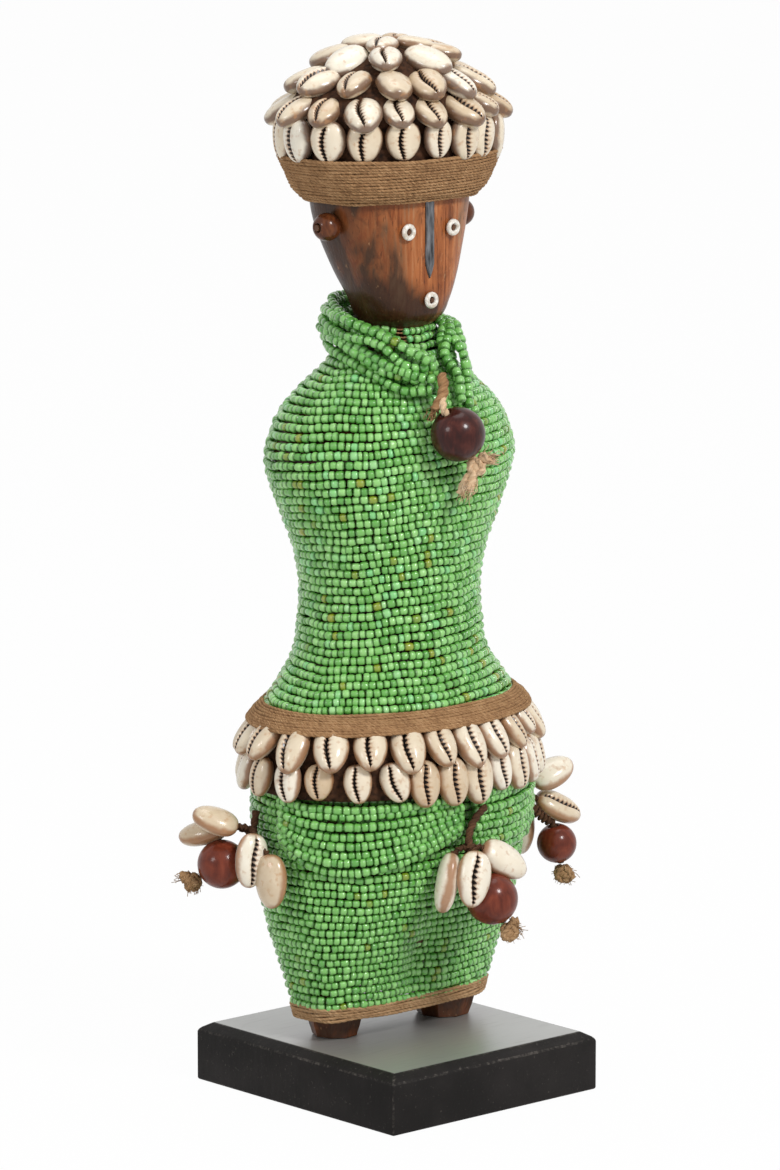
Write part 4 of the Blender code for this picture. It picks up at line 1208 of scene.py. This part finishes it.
# Tiers of cowries, lowest first: how many, their ring's half width and half depth, sewn end and tip as way
# out and height, thickness, width, looseness, darkening (grime, and painted shade between the crowded
# shells), and the share that lie back up. The belt's are alike.
CAP_TIERS = (
    (18, 0.0356, 0.0276, (0.0026, 0.3098), (0.0020, 0.2955), 0.0054, 0.0126, 0.07, 1.0, 0.0),
    (17, 0.0356, 0.0276, (-0.0048, 0.3152), (0.0082, 0.3084), 0.0056, 0.0122, 0.14, 1.0, 0.1),
    (13, 0.0260, 0.0210, (-0.0035, 0.3232), (0.0110, 0.3164), 0.0056, 0.0124, 0.22, 1.0, 0.25),
    (8, 0.0140, 0.0120, (-0.0035, 0.3300), (0.0125, 0.3250), 0.0056, 0.0122, 0.22, 1.0, 0.6),
    (4, 0.0050, 0.0050, (-0.0030, 0.3326), (0.0105, 0.3312), 0.0046, 0.0116, 0.10, 0.8, 0.75),
)


def wound_band(stations, turns, twine, seed, slack=0.00012):
    """One length of twine wound up a band, turn on turn, laid just outside its outline."""
    chance = np.random.default_rng(seed)
    steps = np.linspace(0, 1, turns * 150)
    heights = stations[0][0] + (stations[-1][0] - stations[0][0]) * steps
    angles = math.pi / 2 + math.tau * turns * steps
    points = laid(stations, heights, angles)
    points[:, 2] += slack * (np.sin(angles * 3.1 + 1) + np.sin(angles * 7.3 + 4 * chance.random()))
    return rope(even(points, BAND_STEP), twine, lay=TWINE_LAY, depth=BAND_GROOVE)


def make_cap_core():
    heights = np.linspace(CAP_CORE[0][0], CAP_CORE[-1][0], 40)
    return skin([ring_at(height, around(64), *along(CAP_CORE, height), CAP_SQUARENESS) for height in heights])


keep("cap_padding", make_cap_core(), DARK_FIBRE, ["cap_core"])
keep("cap_wound_twine", wound_band(CAP_BAND, CAP_TURNS, CAP_TWINE, 21), BROWN_TWINE, ["cap_twine_band"])
for tier, tier_sewing in enumerate(CAP_TIERS, 1):
    keep(f"cap_cowries_{tier}", cowrie_row(*tier_sewing, 30 + tier), COWRIE, [f"cap_shell_tier_{tier}"])

# Belt: backing, wound twine and two rows of cowries
BELT_BAND = ((0.1083, 0.0530, 0.0380, 2.1), (0.1116, 0.0507, 0.0362, 2.05), (0.1146, 0.0470, 0.0338, 2.0))
BELT_TWINE = 0.00068
BELT_TURNS = 9
BACKING_BOTTOM = 0.0862
BACKING_TOP = 0.1115
BACKING_DEPTH = -0.0002
BELT_ROWS = (
    ("upper", (24, 0.0500, 0.0350, (-0.0020, 0.1100), (0.0078, 0.0974), 0.0056, 0.0112, 0.13, 0.55, 0.0)),
    ("lower", (26, 0.0500, 0.0350, (0.0022, 0.0988), (0.0058, 0.0846), 0.0056, 0.0110, 0.13, 0.55, 0.0)),
)


def make_belt_backing():
    heights = np.linspace(BACKING_BOTTOM, BACKING_TOP, 14)
    return skin([laid(DRESS, height, around(96), BACKING_DEPTH) for height in heights])


keep("belt_cloth", make_belt_backing(), DARK_FIBRE, ["belt_backing"])
keep("belt_wound_twine", wound_band(BELT_BAND, BELT_TURNS, BELT_TWINE, 22), BROWN_TWINE, ["belt_twine_band"])
for row_seed, (row, row_sewing) in enumerate(BELT_ROWS, 41):
    keep(f"belt_cowries_{row}", cowrie_row(*row_sewing, row_seed), COWRIE, [f"belt_shell_row_{row}"])

# Torso rows, tilted most between the belt and the shoulders
ROW_TILT = 0.075
TILT_GROWS = 0.030
TILT_FADES = 0.034
TORSO_BOTTOM = 0.1130
TORSO_WAIST = 0.1760
TORSO_TOP = 0.2290
ROUND = np.linspace(math.pi / 2, math.pi / 2 + math.tau, 240)
ROW_START = 0.3


def torso_rows(heights, seed):
    strands = Strands(seed)
    for height in heights:
        grown = np.clip((height - TORSO_BOTTOM) / TILT_GROWS, 0, 1)
        steady = grown * np.clip((TORSO_TOP - height) / TILT_FADES, 0, 1)
        angles = ROUND + strands.chance.random() * ROW_START
        strands.thread(around_dress(height, BEAD_RADIUS, angles, ROW_TILT * steady))
    return strands.piece()


rows = row_heights(TORSO_BOTTOM, TORSO_TOP)
keep("torso_bead_rows_lower", torso_rows(rows[rows < TORSO_WAIST], 51), BEAD_GLASS, ["torso_beads"])
keep("torso_bead_rows_upper", torso_rows(rows[rows >= TORSO_WAIST], 52), BEAD_GLASS)

# Neck rows: smaller beads, some missing, over the bare thread
NECK_ROWS = (0.2302, 0.2330, 0.2358, 0.2384)
NECK_BEAD = 0.86
NECK_SPARE = 0.10
NECK_MISSING = 0.14
THREAD_RADIUS = 0.00042
THREAD_STEP = 0.0011
THREAD_IN = (0.985, 0.985, 1)
THREAD_LIFTS = (-0.0006, 0.0006)


def make_neck_rows():
    strands = Strands(53)
    threads = []
    for height in NECK_ROWS:
        line = around_dress(height, BEAD_RADIUS * NECK_BEAD, ROUND)
        strands.thread(line, NECK_BEAD, NECK_SPARE, NECK_MISSING)
        for lift in THREAD_LIFTS:
            inner = even(line * THREAD_IN + (0, 0, lift), THREAD_STEP)
            threads.append(rope(inner, THREAD_RADIUS, lay=FINE_LAY, sides=6))
    keep("neck_bead_rows", strands.piece(), BEAD_GLASS)
    keep("neck_thread", join(threads), BROWN_TWINE)


make_neck_rows()

# Skirt rows, pressed in between the legs, with loose strands looped over them from cord to cord
SKIRT_BOTTOM = 0.0126
SKIRT_TOP = 0.0855
SKIRT_BEAD = 0.95
CREASE_X = -0.0030
CREASE_WIDTH = 0.0065
CREASE_DEPTH = 0.0066
CREASE_TOP = 0.0520
FRONT_EDGE = 0.010
FRONT_BLEND = 0.020
LOOSE_SPARE = 0.06
# Painted shade: the skirt, its loose strands and the collar take only the deeper greens.
PAINTED_SHADE_TONES = (0.66, 0.02)

# Loose strands: the angle at each end in degrees, then the height of the first strand at each end and its
# sag, and how much each of these grows from one strand to the next
SWAG_LEVEL = 0.0600
SWAG_FADE = 0.008
SWAG_BACKING = 0.0022
SWAG_PROUD = 0.0024
SWAG_STAGGER = 0.0007
SWAG_UNEVEN = 0.0004
SWAGS = 8
SWAG_BEAD = 1.02
SWAG_SIDES = (
    ((184, 269), (0.0854, 0.0846, 0.0012), (-0.0019, -0.0017, 0.0013)),
    ((273, 352), (0.0842, 0.0866, 0.0004), (-0.0026, -0.0022, 0.0004)),
)


def dented(line, height):
    """The row pressed in between the legs at the front, least where the dress is widest."""
    share = np.clip((height - SKIRT_BOTTOM) / (CREASE_TOP - SKIRT_BOTTOM), 0, 1)
    near = np.exp(-(((line[:, 0] - CREASE_X) / CREASE_WIDTH) ** 2)) * (line[:, 1] < 0)
    line[:, 1] += CREASE_DEPTH * math.sin(math.pi * share) * (1 - share) * near
    return line


def skirt_rows(heights, seed):
    """Rows of the skirt, sunk at the front where the loose strands lie over them."""
    strands = Strands(seed)
    for height in heights:
        under = SWAG_BACKING * float(np.clip((height - SWAG_LEVEL) / SWAG_FADE, 0, 1))
        angles = ROUND + strands.chance.random() * ROW_START
        line = dented(around_dress(height, BEAD_RADIUS, angles), height)
        sunk = around_dress(height, BEAD_RADIUS + under, angles)
        share = np.clip((FRONT_EDGE - line[:, 1]) / FRONT_BLEND, 0, 1)[:, None]
        strands.thread(line * (1 - share) + np.where(under > 0, sunk, line) * share, SKIRT_BEAD)
    return strands.piece(*PAINTED_SHADE_TONES)


def swag(ends, start_height, end_height, sag, depth):
    """A loose strand on the dress between two places, hanging down between them."""
    share = np.linspace(0, 1, 60)
    angles = np.radians(ends[0] + (ends[1] - ends[0]) * share)
    early = share**0.8
    heights = start_height + (end_height - start_height) * share - sag * (4 * early * (1 - early)) ** 0.9
    return laid(DRESS, heights, angles, depth)


def make_swags():
    strands = Strands(55)
    for k in range(SWAGS):
        uneven = strands.chance.normal(0, SWAG_UNEVEN)
        depth = BEAD_RADIUS - SWAG_PROUD + SWAG_STAGGER * (k % 2)
        for ends, first, growth in SWAG_SIDES:
            start_height, end_height, sag = np.array(first) + k * np.array(growth)
            strands.thread(swag(ends, start_height, end_height, sag + uneven, depth), SWAG_BEAD, LOOSE_SPARE)
    return strands.piece(*PAINTED_SHADE_TONES)


skirt_heights = row_heights(SKIRT_BOTTOM, SKIRT_TOP)
half = len(skirt_heights) // 2
keep("skirt_bead_rows_lower", skirt_rows(skirt_heights[:half], 54), BEAD_GLASS, ["skirt_beads"])
keep("skirt_bead_rows_upper", skirt_rows(skirt_heights[half:], 57), BEAD_GLASS)
keep("skirt_loose_strands", make_swags(), BEAD_GLASS)

# Hem
HEM_BAND = ((0.0078, 0.0376, 0.0146, 3.2), (0.0125, 0.0388, 0.0154, 3.2))
HEM_TWINE = 0.00068
HEM_TURNS = 5
HEM_SLACK = 0.00022
hem = wound_band(HEM_BAND, HEM_TURNS, HEM_TWINE, 23, HEM_SLACK)
keep("hem_wound_twine", hem, GREY_TWINE, ["hem_twine_band"])

# Collar: loose strands from behind the neck, gathered at the front where the pendant is tied. Each run has a
# girth for each of its strands, how far every second strand's end fans out, and the first strand's points,
# each with its step to the next strand.
COLLAR_LOOSE = 0.00105
COLLAR_STEP = 0.0004
COLLAR_BEAD = 1.10
COLLAR_RUNS = (
    ((0.95, 1.055, 1.0, 1.055, 0.96, 0.97), 0.0018, (
        ((0.0060, 0.0192, 0.2445), (0, 0.0003, -0.0025)),
        ((-0.0128, 0.0160, 0.2455), (-0.0004, 0, -0.0026)),
        ((-0.0204, 0.0000, 0.2442), (-0.0006, 0, -0.0028)),
        ((-0.0168, -0.0163, 0.2388), (-0.0006, -0.0009, -0.0029)),
        ((-0.0128, -0.0240, 0.2352), (-0.0004, -0.0009, -0.0028)),
        ((-0.0085, -0.0292, 0.2318), (0, -0.0006, -0.0024)),
    )),
    ((1, 1, 1, 1), 0.0, (
        ((0.0060, 0.0170, 0.2446), (0, 0, -0.0030)),
        ((-0.0130, 0.0130, 0.2446), (-0.0008, 0, -0.0031)),
        ((-0.0180, -0.0010, 0.2426), (-0.0010, 0, -0.0032)),
        ((-0.0150, -0.0145, 0.2360), (-0.0010, -0.0010, -0.0030)),
        ((-0.0080, -0.0235, 0.2310), (0, -0.0010, -0.0028)),
        ((-0.0045, -0.0275, 0.2288), (0, -0.0010, -0.0026)),
    )),
    ((1, 1), 0.0, (
        ((-0.0060, 0.0165, 0.2412), (0, 0, -0.0030)),
        ((0.0108, 0.0125, 0.2418), (0, 0, -0.0030)),
        ((0.0152, -0.0010, 0.2408), (0.0006, 0, -0.0030)),
        ((0.0122, -0.0118, 0.2385), (0.0006, 0, -0.0032)),
        ((0.0075, -0.0185, 0.2340), (0, -0.0012, -0.0034)),
        ((0.0040, -0.0235, 0.2280), (0, -0.0014, -0.0034)),
    )),
)
# Left strands: the back of the first with its steps, then the front of each
COLLAR_BACK = (
    ((-0.0060, 0.0192, 0.2430), (0, 0, -0.0026)),
    ((0.0118, 0.0150, 0.2440), (0.0006, 0, -0.0026)),
    ((0.0165, -0.0010, 0.2432), (0.0009, 0, -0.0027)),
)
COLLAR_LEFT = (
    ((0.0110, -0.0150, 0.2388), (0.0058, -0.0235, 0.2315),
     (0.0040, -0.0280, 0.2235), (0.0012, -0.0318, 0.2160)),
    ((0.0138, -0.0142, 0.2400), (0.0095, -0.0245, 0.2312),
     (0.0078, -0.0287, 0.2235), (0.0046, -0.0322, 0.2150)),
    ((0.0165, -0.0130, 0.2378), (0.0130, -0.0230, 0.2280),
     (0.0110, -0.0275, 0.2215), (0.0080, -0.0312, 0.2145)),
    ((0.0192, -0.0118, 0.2345), (0.0168, -0.0215, 0.2242),
     (0.0145, -0.0255, 0.2185), (0.0112, -0.0300, 0.2125)),
    ((0.0128, -0.0128, 0.2362), (0.0098, -0.0215, 0.2290),
     (0.0072, -0.0260, 0.2210), (0.0050, -0.0290, 0.2150)),
)


def stepped(points, k):
    """Points moved on by k of their own steps."""
    table = np.array(points)
    return table[:, 0] + k * table[:, 1]


def thread_loosely(strands, route):
    """Threads beads on a smooth curve near a route, so that strands side by side wander over each other."""
    wander = strands.chance.normal(0, COLLAR_LOOSE, (len(route), 3))
    strands.thread(smooth(route + wander, COLLAR_STEP), COLLAR_BEAD, LOOSE_SPARE)


def make_collar():
    strands = Strands(56)
    for girths, fan, points in COLLAR_RUNS:
        for k, girth in enumerate(girths):
            route = stepped(points, k)
            route[-1, 0] -= fan * (k % 2)
            thread_loosely(strands, route * (girth, girth, 1))
    for k, front in enumerate(COLLAR_LEFT):
        thread_loosely(strands, np.vstack([stepped(COLLAR_BACK, k), front]))
    return strands.piece(*PAINTED_SHADE_TONES)


keep("collar_loose_strands", make_collar(), BEAD_GLASS, ["collar_strand"])

# The twine that gathers the collar where the pendant hangs
GATHER_RADIUS = 0.0019
GATHER_LAY = 0.0085
GATHER_ROUTE = (
    (-0.0072, -0.0336, 0.2258),
    (-0.0090, -0.0366, 0.2224),
    (-0.0118, -0.0384, 0.2190),
    (-0.0142, -0.0378, 0.2156),
)
GATHER_HAIRS = (40, 3)
GATHER_FRAY = (-0.0010, 0.0004, -0.0022)
ROOT_SPREAD = 0.0008
TIP_SPREAD = 0.0006


def make_collar_tie():
    chance = np.random.default_rng(57)
    twine = rope(smooth(GATHER_ROUTE, FINE_STEP), GATHER_RADIUS, lay=GATHER_LAY, sides=14)
    roots = np.array(GATHER_ROUTE[-1]) + chance.normal(0, ROOT_SPREAD, GATHER_HAIRS)
    tips = roots + GATHER_FRAY + chance.normal(0, TIP_SPREAD, GATHER_HAIRS)
    return join([twine, hairs(roots, tips, HAIR_RADIUS, chance)])


keep("collar_tie", make_collar_tie(), BROWN_TWINE)

# Studio. Lamps: metres from the aim towards the camera, to its right and up, then size and power
FLOOR_SIZE = 12.0
PAPER_WHITE = 0.975
AMBIENT = 0.36
AIM = Vector((0, 0, 0.19))
TOWARD = Vector((-0.667, -0.745, 0))
RIGHT = Vector((0.745, -0.667, 0))
UP = Vector((0, 0, 1))
LAMPS = (
    ("key", (1.35, 1.15, 1.45), 0.55, 34.0),
    ("fill", (1.25, -1.4, 0.9), 0.6, 8.5),
    ("top", (-0.3, 0.0, 1.8), 1.2, 9.0),
)


def make_paper_finish():
    """White paper that still takes the shadow: mostly lit, and lifted to white where it is seen."""
    finish = Finish("white_paper", {"Roughness": 0.9, "Specular IOR Level": 0.0})
    grain = finish.noise(30, 2.0)
    finish.feed("Base Color", finish.ramp(grain, ((0.0, (226, 226, 226)), (1.0, (230, 230, 230)))))
    lit = Wire(finish, finish.shader.outputs[0])
    glow = finish.node("ShaderNodeEmission", {}, {"Color": (1, 1, 1, 1), "Strength": 1.0})
    blended = finish.node("ShaderNodeMixShader", {}, {0: finish.shown() * PAPER_WHITE, 1: lit, 2: glow})
    finish.link(blended, finish.tree.nodes["Material Output"].inputs["Surface"])
    return finish.material


def make_studio():
    deselect()
    bpy.ops.mesh.primitive_plane_add(size=FLOOR_SIZE, location=(0, 0, 0))
    floor = bpy.context.object
    floor.name = "floor"
    floor.data.materials.append(make_paper_finish())
    world = bpy.data.worlds.new("studio")
    bpy.context.scene.world = world
    world.use_nodes = True
    sky = Nodes(world.node_tree)
    background = sky.tree.nodes["Background"]
    background.inputs["Color"].default_value = (1, 1, 1, 1)
    level = sky.node("ShaderNodeMapRange", {}, {"Value": sky.shown(), "To Min": AMBIENT})
    sky.link(level, background.inputs["Strength"])
    for name, (toward, right, up), size, power in LAMPS:
        lamp = bpy.data.lights.new(name, "AREA")
        lamp.shape = "DISK"
        lamp.size = size
        lamp.energy = power
        stand = bpy.data.objects.new(name, lamp)
        stand.location = AIM + TOWARD * toward + RIGHT * right + UP * up
        stand.rotation_euler = (AIM - stand.location).to_track_quat("-Z", "Y").to_euler()
        bpy.context.collection.objects.link(stand)


make_studio()
